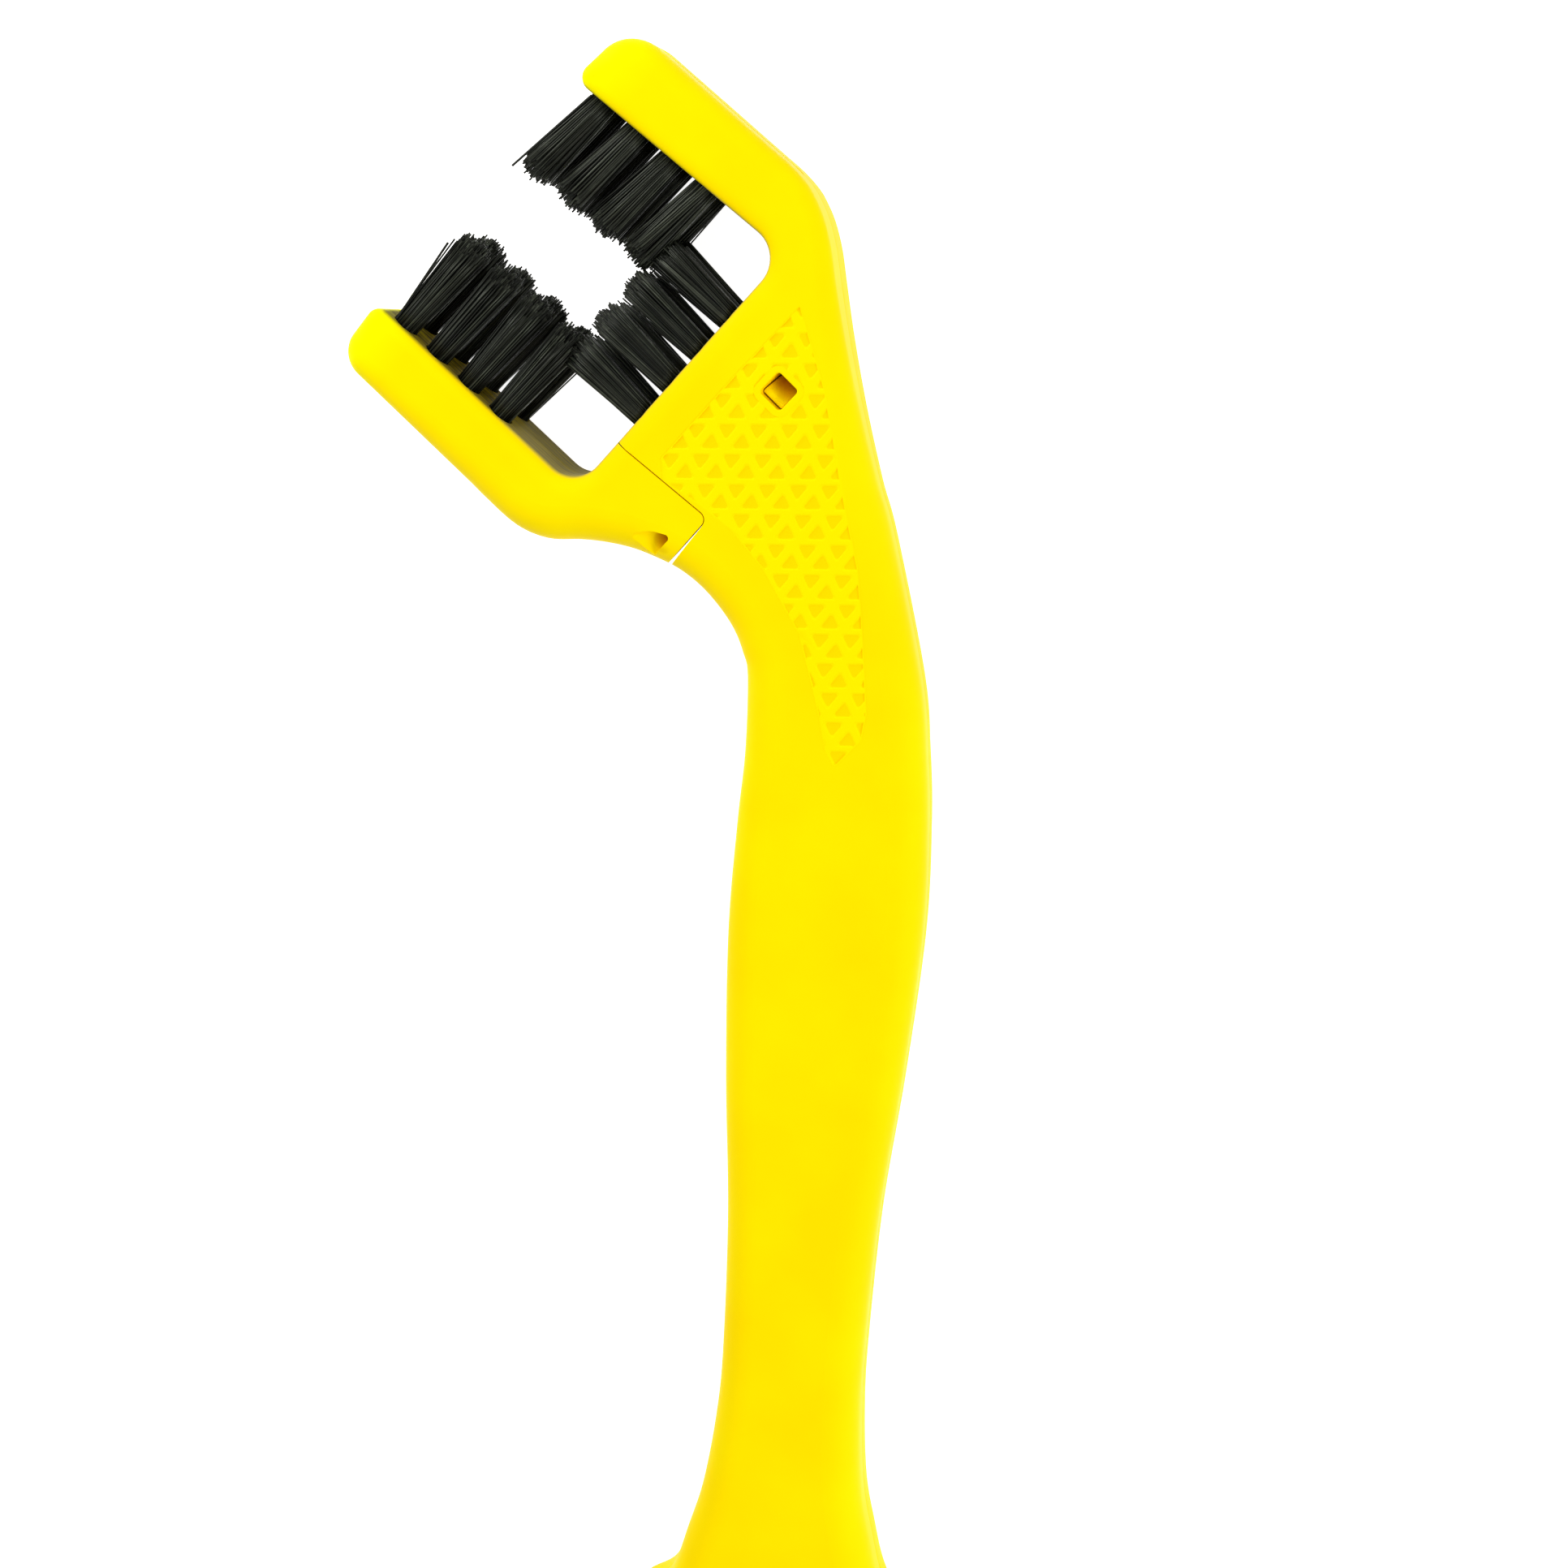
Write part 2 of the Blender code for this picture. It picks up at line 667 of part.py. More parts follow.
def end_strip(row, row_side):
    """One bristle strip: a bar that carries a row of tufts."""
    name = "end_bristles_" + row
    bottom, top = PLUG_GAP - STRIP_DEPTH, -PLUG_SINK
    middle = Matrix.Translation((0, 0, (bottom + top) / 2))
    size = (STRIP_WIDTH - 2 * PLUG_GAP, STRIP_LENGTH - 2 * PLUG_GAP, top - bottom)
    bar = box_at(name + "_bar", middle, size)

    def build_strands(shape):
        for index in range(END_TUFTS):
            offset = (index - (END_TUFTS - 1) / 2) * END_TUFT_PITCH
            centre = Vector((0, offset, top))
            reach = END_BRISTLE_LENGTH - top
            add_strands(shape, centre, END_STRAND_RINGS, END_TUFT_RADIUS, reach)

    fused = fuse(name + "_mesh", bar, mesh_from(name + "_rise", build_strands))
    fused.materials.clear()
    fused.materials.append(BLACK)
    strip = bpy.data.objects.new(name, fused)
    brush_collection.objects.link(strip)
    strip.matrix_world = end_frame(row_side)


def window_cutter():
    """The square latch window through the handle's front wall."""
    half = WINDOW_SIDE / 2
    corners = [Vector((x * half, y * half)) for x, y in ((1, -1), (1, 1), (-1, 1), (-1, -1))]
    outline = []
    for i, corner in enumerate(corners):
        outline += round_corner(corners[i - 1], corner, corners[(i + 1) % 4], WINDOW_ROUND)
    frame = head_frame(WINDOW_CENTRE, -TONGUE_CENTRE, MID_PLANE)
    return extruded("latch_window", outline, MID_PLANE + OVERRUN, frame)


def scoop_outline():
    """The scoop from above: a straight wall on Y, a round back, and open to the jaw's outer edge."""
    start = math.asin(SCOOP_SHIFT / SCOOP_RADIUS)
    back = []
    for step in range(ARC_STEPS + 1):
        angle = start + (math.pi / 2 - start) * step / ARC_STEPS
        across = SCOOP_RADIUS * math.sin(angle) - SCOOP_SHIFT
        back.append(Vector((across, SCOOP_RADIUS * (1 - math.cos(angle)))))
    far_wall = Vector((0, SCOOP_REACH))
    far_back = Vector((back[-1].x, SCOOP_REACH))
    corner = round_corner(far_wall, back[0], back[1], SCOOP_CORNER_RADIUS)
    return [far_wall, *corner, *back[1:], far_back]


def scoop_cutter():
    """A ramp that dips into the jaw's front face and ends in a steep wall."""
    frame = head_frame(-SCOOP_ALONG, -SCOOP_BELOW, THICKNESS - SCOOP_DEPTH, SCOOP_TURN)
    cutter = extruded("scoop", scoop_outline(), SCOOP_DEPTH + OVERRUN, frame)
    ramp = Matrix.Identity(4)
    ramp[2][0] = SCOOP_DEPTH / (SCOOP_RADIUS - SCOOP_SHIFT)
    cutter.data.transform(ramp)
    return cutter


def side_slot_cutter():
    """A long shallow slot down the middle of the upper jaw's outer side."""
    start = jaw_line(1, 1, SIDE_SLOT_START)
    end = jaw_line(1, 1, SIDE_SLOT_START + SIDE_SLOT_LENGTH)
    middle = (start + end) / 2
    run = end - start
    frame = Matrix.Translation((middle.x, middle.y, MID_PLANE))
    frame = frame @ Matrix.Rotation(math.atan2(run.y, run.x), 4, "Z")
    size = (run.length, 2 * SIDE_SLOT_DEPTH, SIDE_SLOT_WIDTH)
    return add_object("side_slot", box_at("side_slot", frame, size))


def tongue_box(name, clearance, root, tip):
    """The tongue, or its socket where the clearance is more than zero."""
    length = tip - root
    frame = head_frame((tip + root) / 2, -TONGUE_CENTRE, MID_PLANE)
    size = (length, TONGUE_WIDTH + 2 * clearance, TONGUE_THICKNESS + 2 * clearance)
    return add_object(name, box_at(name, frame, size, TONGUE_EDGE))


def finger_slot():
    """The slot through the tongue that the spring finger moves in."""
    tip = WINDOW_CENTRE + WINDOW_SIDE / 2 + FINGER_CLEARANCE
    frame = head_frame((tip - FINGER_ROOT) / 2, -TONGUE_CENTRE, MID_PLANE)
    size = (
        tip + FINGER_ROOT,
        FINGER_WIDTH + 2 * FINGER_CLEARANCE,
        TONGUE_THICKNESS + 2 * OVERRUN,
    )
    return add_object("finger_slot", box_at("finger_slot", frame, size))


def latch_finger():
    """The spring finger: a thin leaf with a ramped hook that stands in the window."""
    top = TONGUE_THICKNESS / 2
    bottom = top - FINGER_THICKNESS
    root = FINGER_ROOT_GAP - FINGER_ROOT
    hook_start = WINDOW_CENTRE - WINDOW_SIDE / 2 + HOOK_GAP
    hook_end = hook_start + HOOK_LENGTH
    crest = THICKNESS / 2 - HOOK_SUNK
    side_view = [
        (root, bottom),
        (hook_end, bottom),
        (hook_end, top),
        (hook_start + HOOK_CREST, crest),
        (hook_start, crest),
        (hook_start, top),
        (root, top),
    ]
    stand = head_frame(0, FINGER_WIDTH / 2 - TONGUE_CENTRE, MID_PLANE)
    frame = stand @ Matrix.Rotation(math.pi / 2, 4, "X")
    return extruded("latch_finger", side_view, FINGER_WIDTH, frame, YELLOW)


places = tuft_places()
handle_places = [entry for entry in places if entry[0] != "lower"]
jaw_places = [entry for entry in places if entry[0] == "lower"]

handle = add_object("handle", mesh_from("handle", build_body), YELLOW)
lower_jaw = add_object("lower_jaw", mesh_from("lower_jaw", build_body), YELLOW)

combine(lower_jaw, jaw_side("jaw_side", 0, JAW_EDGE_LEAN), "INTERSECT")
combine(handle, jaw_side("jaw_clearance", SEAM_GAP, HANDLE_EDGE_LEAN), "DIFFERENCE")

combine(handle, tongue_box("socket", SOCKET_GAP, -TONGUE_ROOT, TONGUE_TIP + SOCKET_GAP), "DIFFERENCE")
combine(handle, window_cutter(), "DIFFERENCE")
combine(handle, side_slot_cutter(), "DIFFERENCE")
combine(handle, hole_cutter("handle_holes", handle_places), "DIFFERENCE")

combine(lower_jaw, tongue_box("tongue", 0, -TONGUE_ROOT, TONGUE_TIP), "UNION")
combine(lower_jaw, finger_slot(), "DIFFERENCE")
combine(lower_jaw, scoop_cutter(), "DIFFERENCE")
combine(lower_jaw, hole_cutter("jaw_holes", jaw_places), "DIFFERENCE")

finger = latch_finger()
tufts = place_tufts(places)
for row, row_side in (("front", 1), ("back", -1)):
    combine(handle, end_slot(row, row_side), "DIFFERENCE")
    end_strip(row, row_side)

# The arrow shows which way, and how far, the lower jaw slides out with all that it carries
slide = bpy.data.objects.new("jaw_slide", None)
slide.empty_display_type = "SINGLE_ARROW"
slide.empty_display_size = RELEASE_TRAVEL
slide.matrix_world = facing_frame(head_point(0, -TONGUE_CENTRE), MID_PLANE, -ALONG)
brush_collection.objects.link(slide)
for item in (lower_jaw, finger, *tufts):
    if item.name.startswith(("lower", "latch")):
        item.parent = slide
        item.matrix_parent_inverse = slide.matrix_world.inverted()
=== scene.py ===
# %% [markdown]
# # A chain cleaning brush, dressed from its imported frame
# The brush is a yellow moulding with a square C-shaped head whose three inner faces carry black
# nylon tufts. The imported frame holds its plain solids. This lesson builds finer pieces in their
# place, at the same size, and gives every piece a finish. All lengths are in metres: X runs
# across the grip, Y along it towards the head, and Z through the thickness.

import math

import bmesh
import bpy
from mathutils import Matrix, Vector


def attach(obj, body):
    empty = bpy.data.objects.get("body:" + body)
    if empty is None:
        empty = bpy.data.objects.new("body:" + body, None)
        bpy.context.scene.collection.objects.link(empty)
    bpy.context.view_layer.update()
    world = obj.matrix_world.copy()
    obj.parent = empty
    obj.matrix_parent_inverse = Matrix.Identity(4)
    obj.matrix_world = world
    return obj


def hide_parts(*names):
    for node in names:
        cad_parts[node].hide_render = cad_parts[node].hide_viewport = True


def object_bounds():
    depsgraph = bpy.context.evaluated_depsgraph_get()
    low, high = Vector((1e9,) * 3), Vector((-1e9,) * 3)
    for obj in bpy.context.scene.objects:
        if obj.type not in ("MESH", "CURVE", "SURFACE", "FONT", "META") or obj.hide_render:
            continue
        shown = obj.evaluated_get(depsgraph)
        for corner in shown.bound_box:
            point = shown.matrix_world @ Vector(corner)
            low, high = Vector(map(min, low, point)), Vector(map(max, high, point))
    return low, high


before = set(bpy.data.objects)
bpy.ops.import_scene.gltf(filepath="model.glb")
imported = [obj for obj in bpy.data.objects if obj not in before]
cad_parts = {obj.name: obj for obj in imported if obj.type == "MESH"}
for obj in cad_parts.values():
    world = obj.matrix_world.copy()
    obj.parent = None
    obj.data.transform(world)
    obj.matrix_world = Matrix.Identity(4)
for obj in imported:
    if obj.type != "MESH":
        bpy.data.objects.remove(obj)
cad_low, cad_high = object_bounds()
print("frame", [round(v, 4) for v in (*cad_low, *cad_high)])

scene = bpy.context.scene
scene.view_settings.view_transform = "Standard"

# %% [markdown]
# ## The camera
# The photograph looks down on the brush from about 27 cm, a little from the right. A camera
# could be aimed by hand, but its three axes were worked out from the brush's outline, so they go
# straight into its matrix. The lens shift takes up that the picture is an off-centre crop.

# %% Camera
CAMERA_PLACE = Vector((0.04703, 0.05878, 0.27920))
CAMERA_RIGHT = Vector((0.98984608, 0.0, -0.14214339))
CAMERA_UP = Vector((-0.022194, 0.98773523, -0.15455273))
CAMERA_BACK = Vector((0.14040003, 0.15613815, 0.97770584))
LENS = 48.447
LENS_SHIFT = -0.0699
NEAREST = 0.01

camera = bpy.data.objects.new("camera", bpy.data.cameras.new("camera"))
camera.data.lens = LENS
camera.data.shift_x = camera.data.shift_y = LENS_SHIFT
camera.data.clip_start = NEAREST
turn = Matrix((CAMERA_RIGHT, CAMERA_UP, CAMERA_BACK)).transposed().to_4x4()
camera.matrix_world = Matrix.Translation(CAMERA_PLACE) @ turn
scene.collection.objects.link(camera)
scene.camera = camera
print("camera", LENS, "mm lens")

# %% [markdown]
# ## Node trees as formulas
# Materials, the world and Geometry Nodes are all trees of nodes, and setting each socket by hand
# takes a line apiece. Here one helper makes a node and fills its inputs. It gives back a wire:
# one output of the node, on which Python's own arithmetic adds the Math node that it stands for.
# So the rest of the lesson writes its trees as formulas.


# %% Wires
class Wire:
    """One output of a node. Arithmetic on it adds a Math node, or Vector Math for a vector."""

    def __init__(self, tree, socket):
        self.tree, self.socket = tree, socket

    def node(self, kind, inputs=None, output=0, **settings):
        return add_node(self.tree, kind, inputs, output, **settings)

    def math(self, operation, *others):
        kind, output = "ShaderNodeMath", 0
        if self.socket.type in ("VECTOR", "RGBA"):
            kind = "ShaderNodeVectorMath"
            output = "Value" if operation in ("LENGTH", "DOT_PRODUCT") else "Vector"
        inputs = dict(enumerate((self, *others)))
        return self.node(kind, inputs, output, operation=operation)

    def __add__(self, other):
        return self.math("ADD", other)

    def __sub__(self, other):
        return self.math("SUBTRACT", other)

    def __mul__(self, factor):
        """A number times a number, or a vector times a number."""
        if self.socket.type != "VECTOR":
            return self.math("MULTIPLY", factor)
        inputs = {"Vector": self, "Scale": factor}
        return self.node("ShaderNodeVectorMath", inputs, "Vector", operation="SCALE")

    def __truediv__(self, other):
        return self.math("DIVIDE", other)

    def __pow__(self, power):
        return self.math("POWER", power)

    def __abs__(self):
        return self.math("ABSOLUTE")

    def dot(self, other):
        return self.math("DOT_PRODUCT", other)

    def part(self, axis):
        """One axis of a vector."""
        return self.node("ShaderNodeSeparateXYZ", {0: self}, axis)

    def then(self, kind, settings=None, **inputs):
        """The Geometry node that this geometry goes through next."""
        return self.node("GeometryNode" + kind, {"Geometry": self, **inputs}, **(settings or {}))

    def sibling(self, output):
        """Another output of the same node."""
        return Wire(self.tree, self.socket.node.outputs[output])

    def spread(self, low, high, to_low=0.0, to_high=1.0):
        """The range from low to high drawn out to to_low and to_high, where it stops."""
        ends = {"From Min": low, "From Max": high, "To Min": to_low, "To Max": to_high}
        return self.node("ShaderNodeMapRange", {"Value": self, **ends}, "Result")

    def fall(self, low, high):
        """1 up to low, falling to 0 at high."""
        return self.spread(low, high, 1.0, 0.0)

    def mix(self, first, second):
        """The first colour at 0 and the second at 1."""
        return self.node("ShaderNodeMix", {0: self, 6: first, 7: second}, 2, data_type="RGBA")


print("wires ready")


# %% Nodes
def fill(made, inputs):
    """Links each input of a node to a wire, or writes its plain value."""
    for key, value in inputs.items():
        if isinstance(value, Wire):
            value.tree.links.new(value.socket, made.inputs[key])
        else:
            made.inputs[key].default_value = value


def add_node(tree, kind, inputs=None, output=0, **settings):
    """A node with its settings made and its inputs filled; gives the wire of one output."""
    made = tree.nodes.new(kind)
    for name, value in settings.items():
        setattr(made, name, value)
    fill(made, inputs or {})
    return Wire(tree, made.outputs[output]) if made.outputs else None


print("nodes ready")


# %% Mesh helpers
def mesh_from(name, builder):
    """A mesh that builder fills through bmesh, with its faces turned outwards."""
    shape = bmesh.new()
    builder(shape)
    bmesh.ops.recalc_face_normals(shape, faces=shape.faces)
    mesh = bpy.data.meshes.new(name)
    shape.to_mesh(mesh)
    shape.free()
    return mesh


def add_object(name, mesh):
    item = bpy.data.objects.new(name, mesh)
    scene.collection.objects.link(item)
    return item


print("mesh helpers ready")

# %% [markdown]
# ## Floor and surroundings
# The brush was photographed on pure white. More light would bleach the yellow, so rays from the
# camera see a world of strength 1, while the brush is lit by a softer one. The floor is a pale
# sheet that also glows a little for the camera: it reads as white and keeps a faint shadow.

# %% Floor and world
WORLD_LEVEL = 0.58
WHITE = (1.0, 1.0, 1.0, 1.0)
WARM_WHITE = (1.0, 0.955, 0.88, 1.0)
FLOOR_COLOUR = (0.86, 0.86, 0.86, 1.0)
FLOOR_GLOW = 0.93
FLOOR_SIDE = 6.0
FLOOR_DROP = 0.0002


def seen_rays(tree):
    """1 for rays that come straight from the camera, a mirror or a glass, else 0."""
    direct = add_node(tree, "ShaderNodeLightPath", output="Is Camera Ray")
    mirrored = direct.math("MAXIMUM", direct.sibling("Is Glossy Ray"))
    return mirrored.math("MAXIMUM", direct.sibling("Is Transmission Ray"))


def build_floor(shape):
    bmesh.ops.create_grid(shape, x_segments=1, y_segments=1, size=FLOOR_SIDE / 2)


world = bpy.data.worlds.new("white_studio")
world.use_nodes = True
scene.world = world
seen = seen_rays(world.node_tree)
sky = {"Color": seen.mix(WARM_WHITE, WHITE), "Strength": seen.spread(0.0, 1.0, WORLD_LEVEL, 1.0)}
fill(world.node_tree.nodes["Background"], sky)

floor_material = bpy.data.materials.new("white_paper")
floor_material.use_nodes = True
paper = floor_material.node_tree
paper.nodes.clear()
matt = add_node(paper, "ShaderNodeBsdfDiffuse", {"Color": FLOOR_COLOUR})
glow_level = seen_rays(paper) * FLOOR_GLOW
glow = add_node(paper, "ShaderNodeEmission", {"Color": WHITE, "Strength": glow_level})
both = add_node(paper, "ShaderNodeAddShader", {0: matt, 1: glow})
add_node(paper, "ShaderNodeOutputMaterial", {"Surface": both})

floor = add_object("floor", mesh_from("floor", build_floor))
floor.data.materials.append(floor_material)
floor.location.z = cad_low.z - FLOOR_DROP
print("floor at", round(floor.location.z, 4))

# %% [markdown]
# ## Lamps
# Slopes that face the upper left are brightest, the grip's right edge has a long soft highlight,
# and the lower left sides fall into a warm shade. Three area lamps do this: a wide one high on
# the upper left, a low one beside it that catches the rounded edges and the jaws' tips, and a
# strong one further off on the right.

# %% Lamps
LAMPS = [
    ("key_lamp", (-0.20, 0.33, 0.52), 0.26, 1.02),
    ("edge_lamp", (-0.31, 0.31, 0.14), 0.18, 0.80),
    ("side_lamp", (0.50, -0.17, 0.32), 0.30, 1.90),
]
LAMP_TARGET = Vector((0.0, 0.03, 0.0))

for name, place, side, power in LAMPS:
    light = bpy.data.lights.new(name, "AREA")
    light.shape = "SQUARE"
    light.size = side
    light.energy = power
    lamp = add_object(name, light)
    lamp.location = place
    lamp.rotation_euler = (LAMP_TARGET - lamp.location).to_track_quat("-Z", "Y").to_euler()
    print(name, power, "W")

# %% [markdown]
# ## Finishes in few words
# Every finish starts the same way: a material whose plain numbers stand on its shader, and noise
# on Object coordinates, so that it is tied to the brush and not to the picture.


# %% Finish helpers
def new_material(name, roughness, specular, metallic=0.0):
    """A material, the wire of a point's place on it, and its shader with the plain numbers."""
    material = bpy.data.materials.new(name)
    material.use_nodes = True
    shader = material.node_tree.nodes["Principled BSDF"]
    fill(shader, {"Roughness": roughness, "Specular IOR Level": specular, "Metallic": metallic})
    return material, add_node(material.node_tree, "ShaderNodeTexCoord", output="Object"), shader


def noise_at(place, scales, detail, roughness=0.5):
    """A noise from 0 to 1, with features one over scale metres wide. Three scales streak it."""
    if isinstance(scales, tuple):
        place = place.node("ShaderNodeMapping", {"Vector": place, "Scale": scales})
        scales = 1.0
    inputs = {"Vector": place, "Scale": scales, "Detail": detail, "Roughness": roughness}
    return place.node("ShaderNodeTexNoise", inputs, "Fac")


def bumped(relief, strength, distance):
    """The normal that a relief gives a surface."""
    inputs = {"Height": relief, "Strength": strength, "Distance": distance}
    return relief.node("ShaderNodeBump", inputs)


print("finish helpers ready")

# %% [markdown]
# ## Black nylon
# The tufts are bunches of smooth nylon filaments, each with a narrow highlight, and no two catch
# the light alike. A random tone is kept on every filament when it is made, and the material
# reads it to vary the black and the gloss.


# %% Nylon
SOOT = (0.0016, 0.0019, 0.0014, 1.0)
CHARCOAL = (0.052, 0.059, 0.044, 1.0)
NYLON_SHEEN = (0.95, 1.0, 0.84, 1.0)
CLOUD_SCALE = 700.0
CLOUD_LEVELS = (0.6, 1.1)
TONE_POWER = 2.2
NYLON_ROUGHNESS = (0.44, 0.26)


def black_nylon():
    material, place, shader = new_material("black_nylon", roughness=0.36, specular=0.20)
    tone = place.node("ShaderNodeAttribute", output="Fac", attribute_name="tone")
    share = tone**TONE_POWER * noise_at(place, CLOUD_SCALE, 3.0).spread(0.3, 0.7, *CLOUD_LEVELS)
    roughness = tone.spread(0.0, 1.0, *NYLON_ROUGHNESS)
    looks = {"Base Color": share.mix(SOOT, CHARCOAL), "Specular Tint": NYLON_SHEEN}
    fill(shader, {**looks, "Roughness": roughness})
    return material


NYLON = black_nylon()
print("made", NYLON.name)

# %% [markdown]
# ## Steel for the staples
# A small steel plate holds each tuft in its hole. It is stamped from rolled strip, so its grain
# runs one way: a noise drawn out along one axis gives both the colour streaks and the relief.


# %% Steel
STEEL_SCALES = (9000.0, 9000.0, 700.0)
DULL_STEEL = (0.48, 0.48, 0.47, 1.0)
PALE_STEEL = (0.66, 0.65, 0.62, 1.0)
STEEL_ROUGHNESS = (0.28, 0.42)
STEEL_STRENGTH = 0.3
STEEL_RELIEF = 0.00002


def rolled_steel():
    material, place, shader = new_material("anchor_steel", 0.34, specular=0.5, metallic=1.0)
    streaks = noise_at(place, STEEL_SCALES, 4.0)
    roughness = streaks.spread(0.3, 0.7, *STEEL_ROUGHNESS)
    looks = {"Base Color": streaks.mix(DULL_STEEL, PALE_STEEL), "Roughness": roughness}
    fill(shader, {**looks, "Normal": bumped(streaks, STEEL_STRENGTH, STEEL_RELIEF)})
    return material


STEEL = rolled_steel()
for node_name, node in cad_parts.items():
    if "_anchor_" in node_name:
        node.material_slots[0].material = STEEL
print("steel on", sum("_anchor_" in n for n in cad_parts), "staples")

# %% [markdown]
# ## The head's own directions
# The web of the C leans 45.6 degrees across the brush, so nothing on the head lines up with X or
# Y. Places there are given "along" the web and "out" of it towards the open side. One helper
# turns such a pair into a point, and two make frames for the things that stand there.

# %% Head directions
THICKNESS = 0.013
MID_PLANE = THICKNESS / 2
WEB_ANGLE = math.radians(45.6)
HEAD_CENTRE = Vector((-0.0193, 0.0546))
ALONG = Vector((math.cos(WEB_ANGLE), math.sin(WEB_ANGLE)))
OUT = Vector((-math.sin(WEB_ANGLE), math.cos(WEB_ANGLE)))
HEAD_REACH = 0.0205
JAW_LENGTH = 0.0351
JAW_WIDTHS = {1: 0.0089, -1: 0.0102}
JAW_LEANS = {1: math.radians(5.0), -1: math.radians(-1.8)}
JAW_OUTER_LEANS = {1: math.radians(3.6), -1: 0.0}
WEB_SLOPE = 0.024
TUFT_PITCH = 0.00565
TUFTS_IN_ROW = 4
TIP_TUFT_INSET = 0.00435
JAW_TUFT_START = JAW_LENGTH - TIP_TUFT_INSET - TUFT_PITCH * (TUFTS_IN_ROW - 1)


def head_point(along, out):
    return HEAD_CENTRE + ALONG * along + OUT * out


def head_frame(along, out, height, turn=0.0):
    """A matrix whose X runs along the web and whose Y points out of it, turned about Z."""
    spin = Matrix.Rotation(WEB_ANGLE + turn, 4, "Z")
    return Matrix.Translation((*head_point(along, out), height)) @ spin


def facing_frame(place, height, aim):
    """A matrix whose Z points along aim in the X and Y plane, and whose X is up."""
    z_axis = Vector((*aim, 0)).normalized()
    x_axis = Vector((0, 0, 1))
    turned = Matrix((x_axis, z_axis.cross(x_axis), z_axis)).transposed().to_4x4()
    return Matrix.Translation((*place, height)) @ turned


def jaw_line(side, across, out):
    """A point of a jaw, across from its inner line at 0 to its outer at 1. Side 1 is the upper."""
    inner, outer = math.tan(JAW_LEANS[side]), math.tan(JAW_OUTER_LEANS[side])
    slope = inner * (1 - across) + outer * across
    return head_point(side * (HEAD_REACH + JAW_WIDTHS[side] * across - out * slope), out)


print("head centre", [round(v, 4) for v in HEAD_CENTRE])

# %% [markdown]
# ## Yellow plastic
# The mouldings are satin polypropylene, coloured through. Up close such plastic isn't one flat
# colour: the pigment is faintly uneven, the mould's spark-eroded skin leaves a fine grain, and
# handling leaves soft scuffs. Both are kept to faces that lie flat, because a wall seen at a
# grazing angle would only speckle. More masks come from where a point lies, and these paint
# light and shade into the colour. Walls inside the chain opening get a grey-olive painted shade
# with a painted reflection of the black bristles, drawn out in streaks. The floors of the grip's
# pockets get a warmer painted shade and the ridges between them a paler painted highlight, the
# jaws' tips a lemon painted highlight, and deep in the window and the scoop, where plastic would
# be lit only by plastic, an amber painted shade.


# %% Colours and measures of the plastic
YELLOW = (1.0, 0.800, 0.0, 1.0)
WARM_YELLOW = (1.0, 0.745, 0.0, 1.0)
# painted shade on the pockets' floors
HOLLOW_SHADE_YELLOW = (1.0, 0.700, 0.0, 1.0)
# painted highlight on the ridges between the pockets
RIDGE_HIGHLIGHT_YELLOW = (1.0, 0.812, 0.0, 1.0)
# painted highlight on the jaws' tips
TIP_HIGHLIGHT_YELLOW = (0.93, 0.93, 0.0, 1.0)
# painted amber shade deep in the window and the scoop
DEEP_SHADE_YELLOW = (0.62, 0.29, 0.0, 1.0)
# painted shade with the bristles' painted reflection on the inner walls, darker among the tufts
WALL_SHADE_OLIVE = (0.26, 0.225, 0.095, 1.0)
DEEP_WALL_SHADE = (0.085, 0.062, 0.018, 1.0)
SHEEN_TINT = (1.0, 0.90, 0.05, 1.0)
PIGMENT_SCALE = 55.0
SCUFF_SCALES = (420.0, 60.0, 200.0)
WALL_SHADE_SCALES = (300.0, 90.0, 1900.0)
SKIN_SCALE = 900.0
GRAIN_SCALE = 3200.0
BASE_ROUGHNESS = 0.42
ROUGHNESS_SPREAD = 0.10
INNER_WALL_ROUGHNESS = 0.15
SCUFF_RELIEF = -6.0
GRAIN_STRENGTH = 0.2
GRAIN_HEIGHT = 0.000012
LYING_RANGE = (0.45, 0.75)
UPRIGHT_RANGE = (0.25, 0.75)
OPENING_SIDE = (0.0235, 0.0241)
OPENING_FOOT = (-0.0016, -0.0009)
OPENING_MOUTH = (0.0334, 0.0342)
TIP_FADE = (JAW_LENGTH - 0.0075, JAW_LENGTH - 0.0005)
TUFT_FADE = (JAW_TUFT_START - 0.003, JAW_TUFT_START)
POCKET_FLOOR = (THICKNESS - 0.00016, THICKNESS - 0.00011)
RIDGE_TOP = (THICKNESS - 0.00002, THICKNESS - 0.00001)
DEEP_LEVELS = (THICKNESS - 0.0011, THICKNESS - 0.0004)
# along the web, out of it and below the face, then how far the painted shade reaches
SHADED_SPOTS = [(0.0092, -0.0110, 0.0030, 0.0028), (-0.0168, -0.0136, 0.0018, 0.0019)]
SHADE_CORE_SHARE = 0.3
print("yellow", YELLOW[:3], "wall_shade", WALL_SHADE_OLIVE[:3])


# %% Masks of the plastic
def head_place(place):
    """How far a place lies along the web and out of it."""
    spot = place - (*HEAD_CENTRE, 0.0)
    return spot.dot((*ALONG, 0.0)), spot.dot((*OUT, 0.0))


